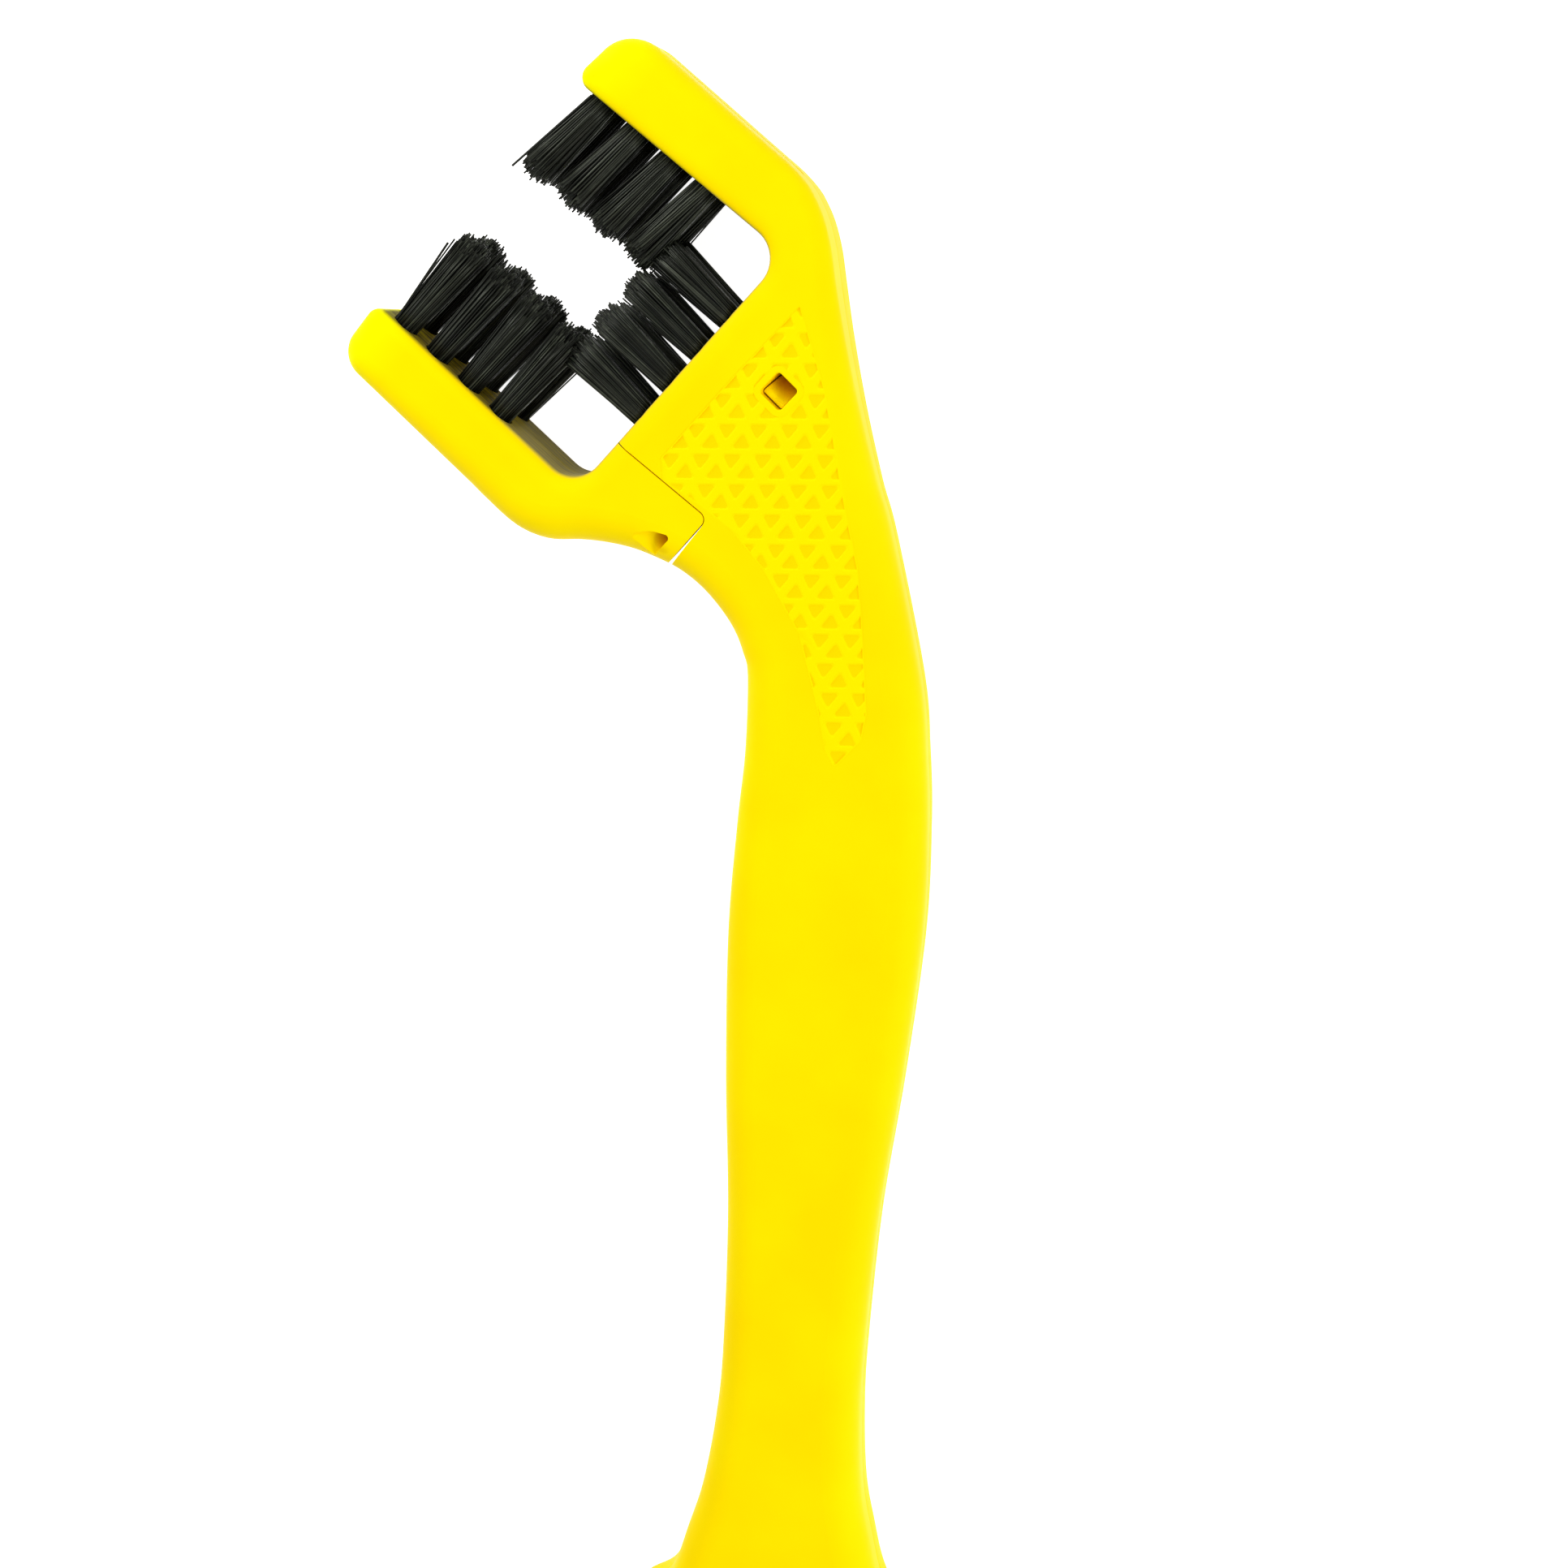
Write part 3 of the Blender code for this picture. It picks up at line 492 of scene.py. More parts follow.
def inner_wall_share(place, facing):
    """1 on the walls that stand inside the chain opening, where shade and the bristles' reflection
    are painted, else 0, then 1 among a jaw's tufts, where that painted shade is darker.
    """
    along, out = head_place(place)
    share = abs(along).fall(*OPENING_SIDE) * out.spread(*OPENING_FOOT)
    share *= out.fall(*OPENING_MOUTH)
    share *= abs(facing).fall(*UPRIGHT_RANGE)
    run = place.node("ShaderNodeCombineXYZ", {0: along, 1: out, 2: place.part("Z")})
    share *= noise_at(run, WALL_SHADE_SCALES, 4.0, 0.6).spread(0.32, 0.66, 0.62, 1.0)
    return share, out.spread(*TUFT_FADE)


def texture_shares(place):
    """Over the grip texture, 1 on the pockets' floors for a painted shade, and 1 on the ridges
    between them for a painted highlight, else 0.
    """
    patch = place.node("ShaderNodeAttribute", output="Fac", attribute_name="patch")
    sunk = place.part("Z").fall(*POCKET_FLOOR)
    lowered = place.part("Z").fall(*RIDGE_TOP)
    return sunk * patch, (lowered - sunk) * patch


def shaded_share(place):
    """1 deep in the window and at the back of the scoop, where an amber shade is painted, else 0.
    """
    share = None
    for along, out, drop, reach in SHADED_SPOTS:
        spot = place - (*head_point(along, out), THICKNESS - drop)
        near = spot.dot(spot).fall((SHADE_CORE_SHARE * reach) ** 2, reach**2)
        share = near if share is None else share.math("MAXIMUM", near)
    return share * place.part("Z").fall(*DEEP_LEVELS)


print("masks ready")


# %% The plastic itself
def yellow_plastic():
    material, place, shader = new_material("yellow_plastic", roughness=0.50, specular=0.03)
    facing = place.sibling("Normal").part("Z")
    colour = noise_at(place, PIGMENT_SCALE, 4.0).spread(0.35, 0.65).mix(YELLOW, WARM_YELLOW)
    hollow_shade, ridge_highlight = texture_shares(place)
    wall_shade, among = inner_wall_share(place, facing)
    # each tint below paints light or shade: shade on the pockets' floors, highlights on their
    # ridges and the jaws' tips, amber shade deep in the window and scoop, and grey-olive shade with
    # the bristles' reflection on the inner walls
    for share, tint in (
        (hollow_shade, HOLLOW_SHADE_YELLOW),
        (ridge_highlight, RIDGE_HIGHLIGHT_YELLOW),
        (head_place(place)[1].spread(*TIP_FADE), TIP_HIGHLIGHT_YELLOW),
        (shaded_share(place), DEEP_SHADE_YELLOW),
        (wall_shade, among.mix(WALL_SHADE_OLIVE, DEEP_WALL_SHADE)),
    ):
        colour = share.mix(colour, tint)
    lying = abs(facing).spread(*LYING_RANGE)
    scuffs = noise_at(place, SCUFF_SCALES, 5.0, 0.65).spread(0.60, 0.74, 0.0, ROUGHNESS_SPREAD)
    skin = noise_at(place, SKIN_SCALE, 3.0).spread(0.3, 0.7, 0.0, ROUGHNESS_SPREAD)
    roughness = (skin + scuffs) * lying + BASE_ROUGHNESS + wall_shade * INNER_WALL_ROUGHNESS
    relief = noise_at(place, GRAIN_SCALE, 2.0) + scuffs * SCUFF_RELIEF
    grain = bumped(relief, lying * GRAIN_STRENGTH, GRAIN_HEIGHT)
    looks = {"Base Color": colour, "Specular Tint": SHEEN_TINT}
    fill(shader, {**looks, "Roughness": roughness, "Normal": grain})
    return material


PLASTIC = yellow_plastic()
print("made", PLASTIC.name)

# %% [markdown]
# ## The outline of the mouldings
# The handle and the lower jaw share one outline, cut later by the seam. It could be one Bezier
# curve, but its corners have known radii and its long sides pass through measured points, so it
# is put together from arcs and a smooth curve. With each point goes how wide and how deep the
# edge is rounded there: full where the hand holds it, and low round the chain opening.

# %% Measures of the outline
ARC_STEPS = 12
CURVE_STEP = 0.0009
CORNER_RADIUS = 0.0042
TIP_OUTER_RADII = {1: 0.0054, -1: 0.0040}
TIP_INNER_RADIUS = 0.0019
JAW_BASE = 0.0075
JAW_BASE_STEP = 0.0030
GRIP_TOP = 0.015
GRIP_RUN = 0.130
GRIP_WIDTH = 0.0264
# down the grip as a share of its run, then its left and right sides as shares of its width
GRIP_STATION_SHARES = [
    (0.000, -0.427, 0.446), (0.077, -0.444, 0.476), (0.154, -0.490, 0.484), (0.269, -0.543, 0.458),
    (0.423, -0.565, 0.355), (0.577, -0.564, 0.231), (0.731, -0.600, 0.151), (0.808, -0.642, 0.131),
    (0.885, -0.716, 0.138), (0.938, -0.799, 0.178), (1.000, -0.916, 0.249),
]
# along the web and out of it, as shares of the head's reach
THROAT_SHARES = [
    (-1.488, 0.156), (-1.446, 0.005), (-1.371, -0.122), (-1.244, -0.251), (-1.132, -0.390),
    (-1.037, -0.541), (-0.971, -0.693), (-0.924, -0.834), (-0.902, -1.005), (-0.912, -1.180),
    (-0.949, -1.356), (-1.020, -1.510),
]
SHOULDER_SHARES = [
    (0.203, -1.671), (0.384, -1.361), (0.634, -0.966), (0.880, -0.610), (1.094, -0.324),
    (1.229, -0.151), (1.327, 0.007), (1.380, 0.137), (1.403, 0.228),
]
END_WIDTH = 0.046
END_LENGTH = 0.025
END_LEAN = math.radians(4.7)
END_CORNER_RADIUS = 0.0045
# down the far head as a share of its length, then its half width as a share of its width
END_FLARE_SHARES = [(0.20, 0.43), (0.38, 0.487), (0.56, 0.5), (1.0, 0.5)]
print("grip", GRIP_RUN, "long and", GRIP_WIDTH, "wide")


# %% Outline helpers
def round_corner(before, corner, after, radius, steps=ARC_STEPS):
    """The arc that rounds a corner between two straight lines."""
    back = (before - corner).normalized()
    ahead = (after - corner).normalized()
    half_angle = back.angle(ahead) / 2
    reach = radius / math.tan(half_angle)
    centre = corner + (back + ahead).normalized() * radius / math.sin(half_angle)
    start = corner + back * reach - centre
    sweep = start.angle_signed(corner + ahead * reach - centre)
    turns = [Matrix.Rotation(-sweep * step / steps, 2) for step in range(steps + 1)]
    return [centre + one_turn @ start for one_turn in turns]


def smooth_run(points):
    """A smooth curve through the points, which leaves out the two end ones."""
    run = []
    for p0, p1, p2, p3 in zip(points, points[1:], points[2:], points[3:]):
        steps = max(1, round((p2 - p1).length / CURVE_STEP))
        for t in (step / steps for step in range(steps)):
            bend = (2 * p0 - 5 * p1 + 4 * p2 - p3) * t**2
            twist = (3 * p1 - p0 - 3 * p2 + p3) * t**3
            run.append((2 * p1 + (p2 - p0) * t + bend + twist) / 2)
    run.append(points[-2])
    return run


def jaw_tip(side):
    """The two rounded corners at a jaw's tip, from the inner side to the outer."""
    base_in, base_out = jaw_line(side, 0, 0), jaw_line(side, 1, 0)
    tip_in, tip_out = jaw_line(side, 0, JAW_LENGTH), jaw_line(side, 1, JAW_LENGTH)
    inner = round_corner(base_in, tip_in, tip_out, TIP_INNER_RADIUS)
    return inner, round_corner(tip_in, tip_out, base_out, TIP_OUTER_RADII[side])


def end_point(across, down):
    """A point of the far head, across its axis and down from the grip's last station."""
    last_down, last_left, last_right = GRIP_STATION_SHARES[-1]
    middle = Vector(((last_left + last_right) / 2 * GRIP_WIDTH, GRIP_TOP - last_down * GRIP_RUN))
    axis = Vector((-math.sin(END_LEAN), -math.cos(END_LEAN)))
    sideways = Vector((math.cos(END_LEAN), -math.sin(END_LEAN)))
    return middle + axis * down + sideways * across


def grip_side(column):
    rows = GRIP_STATION_SHARES
    return [Vector((row[column] * GRIP_WIDTH, GRIP_TOP - row[0] * GRIP_RUN)) for row in rows]


def end_flare(sign):
    return [end_point(sign * b * END_WIDTH, a * END_LENGTH) for a, b in END_FLARE_SHARES]


def head_run(shares):
    return [head_point(along * HEAD_REACH, out * HEAD_REACH) for along, out in shares]


print("outline helpers ready")

# %% The outline itself
# how wide and how deep the edge is rounded
FULL_ROUND = (0.0046, 0.0044)
SIDE_ROUND = (0.0025, 0.0022)
TIP_ROUND = (0.0030, 0.0027)
TIP_INNER_EDGE = (0.0018, 0.0018)
END_ROUND = (0.0024, 0.0020)
SOFT_EDGE = (0.0027, 0.0015)
TIGHT_EDGE = (0.0016, 0.0012)
NARROW_FROM = 0.040
NARROW_TO = 0.066


def side_edge(point):
    """The round of the right side: full along the grip, narrow on the upper jaw."""
    climb = (point.y - NARROW_FROM) / (NARROW_TO - NARROW_FROM)
    return Vector(FULL_ROUND).lerp(Vector(SIDE_ROUND), min(1, max(0, climb)))


def brush_outline():
    """Outline points, counter-clockwise, each with the width and depth of its round."""
    lower_in, lower_out = jaw_tip(-1)
    upper_in, upper_out = jaw_tip(1)
    web_rise = WEB_SLOPE * HEAD_REACH
    web_upper, web_lower = jaw_line(1, 0, web_rise), jaw_line(-1, 0, -web_rise)
    upper_corner = round_corner(upper_in[0], web_upper, web_lower, CORNER_RADIUS)
    lower_corner = round_corner(web_upper, web_lower, lower_in[0], CORNER_RADIUS)
    bases = [JAW_BASE + step * JAW_BASE_STEP for step in range(3)]
    elbow = [jaw_line(-1, 1, out) for out in reversed(bases)]
    shoulder = head_run(SHOULDER_SHARES) + [jaw_line(1, 1, out) for out in bases]
    left_flare, right_flare = end_flare(-1), end_flare(1)
    left = [*elbow, *head_run(THROAT_SHARES), *grip_side(1), *left_flare]
    right_run = smooth_run([*right_flare[::-1], *grip_side(2)[::-1], *shoulder])
    left_corner = (*left_flare[-2:], right_flare[-1], END_CORNER_RADIUS)
    right_corner = (left_flare[-1], *right_flare[:-3:-1], END_CORNER_RADIUS)
    runs = [
        (upper_corner, SOFT_EDGE),
        (lower_corner, SOFT_EDGE),
        (lower_in, TIGHT_EDGE, TIP_INNER_EDGE),
        (lower_out, TIP_ROUND),
        (smooth_run(left), FULL_ROUND),
        (round_corner(*left_corner), END_ROUND),
        (round_corner(*right_corner), END_ROUND),
        (right_run, FULL_ROUND),
        (upper_out[::-1], TIP_ROUND),
        (upper_in[::-1], TIP_INNER_EDGE, TIGHT_EDGE),
    ]
    edged = []
    for run, first, *last in runs:
        for i, point in enumerate(run):
            blend = Vector(first).lerp(Vector(last[0] if last else first), i / (len(run) - 1))
            edged.append((point, side_edge(point) if run is right_run else blend))
    return edged


def fill_long_edges(outline):
    """Splits long straight edges, so that the round can change its width along them."""
    filled = []
    for (here, edge), (after, after_edge) in zip(outline, outline[1:] + outline[:1]):
        steps = max(1, int((after - here).length / CURVE_STEP))
        for t in (step / steps for step in range(steps)):
            filled.append((here.lerp(after, t), edge.lerp(after_edge, t)))
    return filled


outline = fill_long_edges(brush_outline())
print("outline points", len(outline))

# %% [markdown]
# ## The shell
# A Bevel modifier gives one width everywhere, but this edge is wide outside and tight round the
# opening. So the shell is a loft: rings of the outline step inwards along a quarter ellipse, each
# point by its own width and depth. At half height they dip a tenth of a millimetre, which is the
# mould's parting line, and a last ring on the flat face keeps the round's shading off the flat.

# %% Shell
ROUND_STEPS = 9
PARTING_WIDTH = 0.00018
PARTING_DEPTH = 0.00013
FACE_RIM = 0.00022
EASE_PASSES = 20
EASE_FROM = 0.0035


def inward_normals(points):
    normals = []
    for before, here, after in zip(points[-1:] + points, points, points[1:] + points[:1]):
        chord = (here - before).normalized() + (after - here).normalized()
        normals.append(Vector((-chord.y, chord.x)).normalized())
    return normals


def eased_normals(points, edges):
    """Inward normals, evened out along the wide round, where rings would cross on a tight bend."""
    normals = inward_normals(points)
    for _ in range(EASE_PASSES):
        eased = []
        for i, (normal, edge) in enumerate(zip(normals, edges)):
            ahead = normals[(i + 1) % len(normals)]
            mixed = (normals[i - 1] + 2 * normal + ahead).normalized()
            eased.append(mixed if edge[0] > EASE_FROM else normal)
        normals = eased
    return normals


def quarter_round(steps, radius=1.0):
    """How far in and how far down each step of a quarter circle is, from its foot up."""
    angles = [math.pi / 2 * step / steps for step in range(steps + 1)]
    return [(radius * (1 - math.cos(angle)), radius * (1 - math.sin(angle))) for angle in angles]


def skin(shape, rings):
    """Faces from each ring of vertices to the next, and a cap on both ends."""
    for lower, upper in zip(rings, rings[1:]):
        for i in range(len(lower)):
            j = (i + 1) % len(lower)
            shape.faces.new((lower[i], lower[j], upper[j], upper[i]))
    shape.faces.new(rings[0][::-1])
    shape.faces.new(rings[-1])


def build_shell(shape):
    """The loft. A level has its side, its inset as a share and a length, its rise and its drop."""
    half = [(0.0, 0.0, PARTING_WIDTH, 0.0)]
    half += [(share, 0.0, MID_PLANE, drop) for share, drop in quarter_round(ROUND_STEPS)]
    half.append((1.0, FACE_RIM, MID_PLANE, 0.0))
    levels = [(-1, *level) for level in reversed(half)] + [(0, 0.0, PARTING_DEPTH, 0.0, 0.0)]
    levels += [(1, *level) for level in half]
    normals = eased_normals([point for point, _ in outline], [edge for _, edge in outline])
    rings = []
    for side, share, inset, rise, drop in levels:
        ring = []
        for (point, (width, depth)), normal in zip(outline, normals):
            place = point + normal * (width * share + inset)
            ring.append(shape.verts.new((*place, MID_PLANE + side * (rise - depth * drop))))
        rings.append(ring)
    skin(shape, rings)


handle = add_object("handle_moulding", mesh_from("handle_moulding", build_shell))
lower_jaw = add_object("lower_jaw_moulding", handle.data.copy())
print("shell faces", len(handle.data.polygons))

# %% [markdown]
# ## Cutters with a softened mouth
# Moulded openings have no knife edges, which a plain prism would leave. So a cutter is a stack
# of outlines that widens in a small curve where it meets the face. The Boolean then leaves a
# rounded lip by itself, and no bevel has to find the right edges later.

# %% Cutter helpers
OVERRUN = 0.002
LIP_RADIUS = 0.00022
LIP_STEPS = 3


def stacked(name, layers, stand=Matrix()):
    """A closed solid from flat outlines with equal point counts, each at its own height."""

    def build(shape):
        skin(shape, [[shape.verts.new((*p, height)) for p in points] for points, height in layers])

    solid = add_object(name, mesh_from(name, build))
    solid.matrix_world = stand
    return solid


def prism(name, points, low, high, stand=Matrix()):
    return stacked(name, [(points, low), (points, high)], stand)


def box_at(name, place, size, edge=0.0):
    """A box centred on a frame, with its edges broken if an edge is given."""

    def build(shape):
        bmesh.ops.create_cube(shape, size=1.0)
        bmesh.ops.scale(shape, vec=size, verts=shape.verts)
        if edge:
            edges = list(shape.edges)
            bmesh.ops.bevel(shape, geom=edges, offset=edge, segments=2, affect="EDGES")
        bmesh.ops.transform(shape, matrix=place, verts=shape.verts)

    return add_object(name, mesh_from(name, build))


def lip_levels(radius):
    """How far a lip has widened at each height, from its foot to above the front face."""
    levels = [(out, THICKNESS - drop) for out, drop in quarter_round(LIP_STEPS, radius)]
    return [*levels, (radius, THICKNESS + OVERRUN)]


def settle(target):
    """Turns an object and its modifiers into a plain mesh."""
    bpy.context.view_layer.update()
    graph = bpy.context.evaluated_depsgraph_get()
    plain = bpy.data.meshes.new_from_object(target.evaluated_get(graph))
    target.modifiers.clear()
    target.data = plain


def cut(target, cutter, operation="DIFFERENCE"):
    """Applies an exact Boolean to target at once, and deletes the cutter."""
    boolean = target.modifiers.new(operation.lower(), "BOOLEAN")
    boolean.operation = operation
    boolean.solver = "EXACT"
    boolean.object = cutter
    settle(target)
    bpy.data.objects.remove(cutter)


print("lip", LIP_RADIUS)

# %% [markdown]
# ## The seam
# The lower jaw's edge leaves the chain opening, runs down the middle of the head, turns a small
# rounded corner and goes out to the left, where the gap opens into a wedge. One outline says
# which side of that line is the jaw's. Grown by a clearance and taken from the handle, it leaves
# the gap; kept from a copy of the shell, it gives the jaw. Both walls of the low leg slant a
# little through the thickness, so that the camera looks down the gap and sees the white floor.

# %% Seam
SEAM_TOP = 0.0121
SEAM_LEAN = math.radians(5.3)
SEAM_DEPTH = 0.01565
SEAM_CORNER_RADIUS = 0.0011
SEAM_GAP = 0.00013
SEAM_LOW_GAP = 0.00005
SEAM_DRAFT = 0.108
JAW_EDGE_LEAN = math.radians(2.2)
HANDLE_EDGE_LEAN = math.radians(4.9)
SEAM_LIP = 0.00013
JAW_ROLL_SHARES = (-1.0, -1.0)
HANDLE_ROLL_SHARES = (1.0, 0.15)


def jaw_side_outline(growth, low_growth, edge_lean):
    """The space on the jaw's side of the seam, grown by clearances, with its low edge leaning."""
    slope = math.tan(SEAM_LEAN)
    reach = JAW_LENGTH + OVERRUN
    clear = HEAD_REACH + JAW_WIDTHS[-1] + JAW_LENGTH
    top = growth - SEAM_TOP
    mouth = Vector((top - reach * slope, reach))
    corner = Vector((top + SEAM_DEPTH * slope, -SEAM_DEPTH - low_growth))
    far_low = Vector((-clear, corner.y - math.tan(edge_lean) * (clear + corner.x)))
    arc = round_corner(far_low, corner, mouth, SEAM_CORNER_RADIUS + growth)
    return [far_low, *arc, mouth, Vector((-clear, reach))]


def seam_cutter(name, gap, low_gap, edge_lean, roll_shares):
    """The jaw's side as a solid, whose edges roll at both faces and whose low edge slants."""
    front = lip_levels(SEAM_LIP)
    back = [(out, THICKNESS - height) for out, height in reversed(front)]
    layers = []
    for out, height in back + front:
        low_growth = low_gap + roll_shares[1] * out - SEAM_DRAFT * (THICKNESS - height)
        layers.append((jaw_side_outline(gap + roll_shares[0] * out, low_growth, edge_lean), height))
    return stacked(name, layers, head_frame(0, 0, 0))


cut(lower_jaw, seam_cutter("jaw_keep", 0.0, 0.0, JAW_EDGE_LEAN, JAW_ROLL_SHARES), "INTERSECT")
handle_clear = (SEAM_GAP, SEAM_LOW_GAP, HANDLE_EDGE_LEAN, HANDLE_ROLL_SHARES)
cut(handle, seam_cutter("jaw_clear", *handle_clear))
print("jaw faces", len(lower_jaw.data.polygons), "handle faces", len(handle.data.polygons))

# %% [markdown]
# ## Tongue, socket and window
# A flat tongue on the jaw slides into a socket in the handle, and the spring finger on it snaps
# into the square window. The tongue and socket are boxes with broken edges, made with bmesh and
# its bevel; the window is a stack with a rolled lip.

# %% Tongue, socket and window
TONGUE_WIDTH = 0.0072
TONGUE_THICKNESS = 0.0054
TONGUE_TIP = 0.0122
TONGUE_ROOT = 0.0150
TONGUE_CENTRE = 0.01105
TONGUE_EDGE = 0.0006
SOCKET_GAP = 0.0003
WINDOW_SIDE = 0.0036
WINDOW_CENTRE = 0.00775
WINDOW_ROUND = 0.0005
WINDOW_ARC_STEPS = 6
WINDOW_FRAME = head_frame(WINDOW_CENTRE, -TONGUE_CENTRE, 0)
FINGER_WIDTH = 0.0033
FINGER_ROOT = 0.0050
FINGER_CLEARANCE = 0.0005


def tongue_box(name, root, tip, width, thickness, edge=0.0):
    """A box along the tongue's middle line, from its root to its tip."""
    middle = head_frame((tip - root) / 2, -TONGUE_CENTRE, MID_PLANE)
    return box_at(name, middle, (tip + root, width, thickness), edge)


def tongue(name, gap=0.0):
    size = (TONGUE_WIDTH + 2 * gap, TONGUE_THICKNESS + 2 * gap)
    return tongue_box(name, TONGUE_ROOT, TONGUE_TIP + gap, *size, TONGUE_EDGE)


def window_outline(margin):
    """The window's rounded square, grown by a margin."""
    half = WINDOW_SIDE / 2 + margin
    corners = [Vector((x * half, y * half)) for x, y in ((1, -1), (1, 1), (-1, 1), (-1, -1))]
    points = []
    for i, corner in enumerate(corners):
        ends = corners[i - 1], corner, corners[(i + 1) % 4]
        points += round_corner(*ends, WINDOW_ROUND + margin, WINDOW_ARC_STEPS)
    return points


cut(handle, tongue("socket", SOCKET_GAP))
levels = [(0.0, MID_PLANE), *lip_levels(LIP_RADIUS)]
cut(handle, stacked("window", [(window_outline(out), z) for out, z in levels], WINDOW_FRAME))
cut(lower_jaw, tongue("tongue"), "UNION")
slot_tip = WINDOW_CENTRE + WINDOW_SIDE / 2 + FINGER_CLEARANCE
slot_size = (FINGER_WIDTH + 2 * FINGER_CLEARANCE, TONGUE_THICKNESS + OVERRUN)
cut(lower_jaw, tongue_box("finger_slot", FINGER_ROOT, slot_tip, *slot_size))
print("window side", WINDOW_SIDE)

# %% [markdown]
# ## Thumb scoop and side slot
# A scoop in the jaw's front, by which a thumb can pull it out, has a slanting wall on one side
# and a round back. It is a stack whose floor's edges are rounded, and a shear then turns the
# level floor into a ramp. Along the upper jaw's outer side runs a shallow slot, a plain box.

# %% Scoop and slot
SCOOP_ALONG = 0.0157
SCOOP_BELOW = 0.01390
SCOOP_TURN = math.radians(103.0)
SCOOP_SLANT = 0.26
SCOOP_RADIUS = 0.0066
SCOOP_SHIFT = 0.0005
SCOOP_CORNER_RADIUS = 0.0005
SCOOP_DEPTH = 0.0028
SCOOP_REACH = 0.0085
SCOOP_FILLET = 0.00035
SIDE_SLOT_START = 0.0065
SIDE_SLOT_LENGTH = 0.0265
SIDE_SLOT_WIDTH = 0.0011
SIDE_SLOT_DEPTH = 0.0005
SIDE_SLOT_EDGE = 0.0002


def scoop_outline(inset):
    """The scoop from above: a slanting wall, a round back, and open to the jaw's outer edge."""
    radius = SCOOP_RADIUS - inset
    start = math.asin((SCOOP_SHIFT + inset) / radius)
    back = []
    for step in range(ARC_STEPS + 1):
        angle = start + (math.pi / 2 - start) * step / ARC_STEPS
        across = radius * math.sin(angle) - SCOOP_SHIFT
        back.append(Vector((across, SCOOP_RADIUS - radius * math.cos(angle))))
    far_wall = Vector((inset + SCOOP_SLANT * SCOOP_REACH, SCOOP_REACH))
    corner = round_corner(far_wall, back[0], back[2], SCOOP_CORNER_RADIUS - inset)
    return [far_wall, *corner, *back[3:], Vector((back[-1].x, SCOOP_REACH))]


fillet = reversed(quarter_round(LIP_STEPS, SCOOP_FILLET))
layers = [(scoop_outline(inset), lift) for inset, lift in fillet]
layers.append((scoop_outline(0), SCOOP_DEPTH + OVERRUN))
stand = head_frame(-SCOOP_ALONG, -SCOOP_BELOW, THICKNESS - SCOOP_DEPTH, SCOOP_TURN)
scoop = stacked("scoop", layers, stand)
ramp = Matrix()
ramp[2][0] = SCOOP_DEPTH / (SCOOP_RADIUS - SCOOP_SHIFT)
scoop.data.transform(ramp)
cut(lower_jaw, scoop)

start = jaw_line(1, 1, SIDE_SLOT_START)
run = jaw_line(1, 1, SIDE_SLOT_START + SIDE_SLOT_LENGTH) - start
turn = Matrix.Rotation(math.atan2(run.y, run.x), 4, "Z")
stand = Matrix.Translation((*(start + run / 2), MID_PLANE)) @ turn
size = (run.length, 2 * SIDE_SLOT_DEPTH, SIDE_SLOT_WIDTH)
cut(handle, box_at("side_slot", stand, size, SIDE_SLOT_EDGE))
print("scoop", SCOOP_DEPTH, "slot", SIDE_SLOT_LENGTH)

# %% [markdown]
# ## Where the tufts stand
# Two rows of four tufts stand on each inner face. Their holes and filaments need the same places,
# so they are listed once: wall, place, height, aim and length. The holes of one moulding are cut
# together, each with a slightly widened mouth.

# %% Tuft places and holes
ROW_SPACING = 0.0072
HOLE_RADIUS = 0.0018
HOLE_DEPTH = 0.0052
HOLE_SIDES = 28
HOLE_LIP = 0.00012
WEB_TUFT_SHIFT = 0.00105
WEB_TUFT_LENGTH = 0.0133
UPPER_TUFT_LENGTH = 0.0136
LOWER_TUFT_LENGTH = 0.0150
UPPER_TUFT_LEAN = math.radians(4.0)

tufts = []
upper_aim = Matrix.Rotation(-UPPER_TUFT_LEAN, 2) @ -ALONG
web_start = WEB_TUFT_SHIFT - TUFT_PITCH * (TUFTS_IN_ROW - 1) / 2
for row_side in (1, -1):
    height = MID_PLANE + row_side * ROW_SPACING / 2
    for step in (index * TUFT_PITCH for index in range(TUFTS_IN_ROW)):
        upper, lower = (jaw_line(side, 0, JAW_TUFT_START + step) for side in (1, -1))
        web = head_point(web_start + step, WEB_SLOPE * (web_start + step))
        tufts.append(("upper", upper, height, upper_aim, UPPER_TUFT_LENGTH))
        tufts.append(("web", web, height, OUT, WEB_TUFT_LENGTH))
        tufts.append(("lower", lower, height, ALONG, LOWER_TUFT_LENGTH))


def hole_cutter(name, walls):
    profile = [(HOLE_RADIUS, -HOLE_DEPTH), (HOLE_RADIUS, -HOLE_LIP)]
    profile += [(HOLE_RADIUS + HOLE_LIP, 0.0), (HOLE_RADIUS + HOLE_LIP, OVERRUN)]
    angles = [2 * math.pi * side / HOLE_SIDES for side in range(HOLE_SIDES)]

    def build(shape):
        for _, place, height, aim, _ in (tuft for tuft in tufts if tuft[0] in walls):
            stand = facing_frame(place, height, aim)
            rings = []
            for radius, lift in profile:
                ring = [(radius * math.cos(a), radius * math.sin(a), lift) for a in angles]
                rings.append([shape.verts.new(stand @ Vector(spot)) for spot in ring])
            skin(shape, rings)

    return add_object(name, mesh_from(name, build))


cut(handle, hole_cutter("handle_holes", ("upper", "web")))
cut(lower_jaw, hole_cutter("jaw_holes", ("lower",)))
print("tufts", len(tufts))

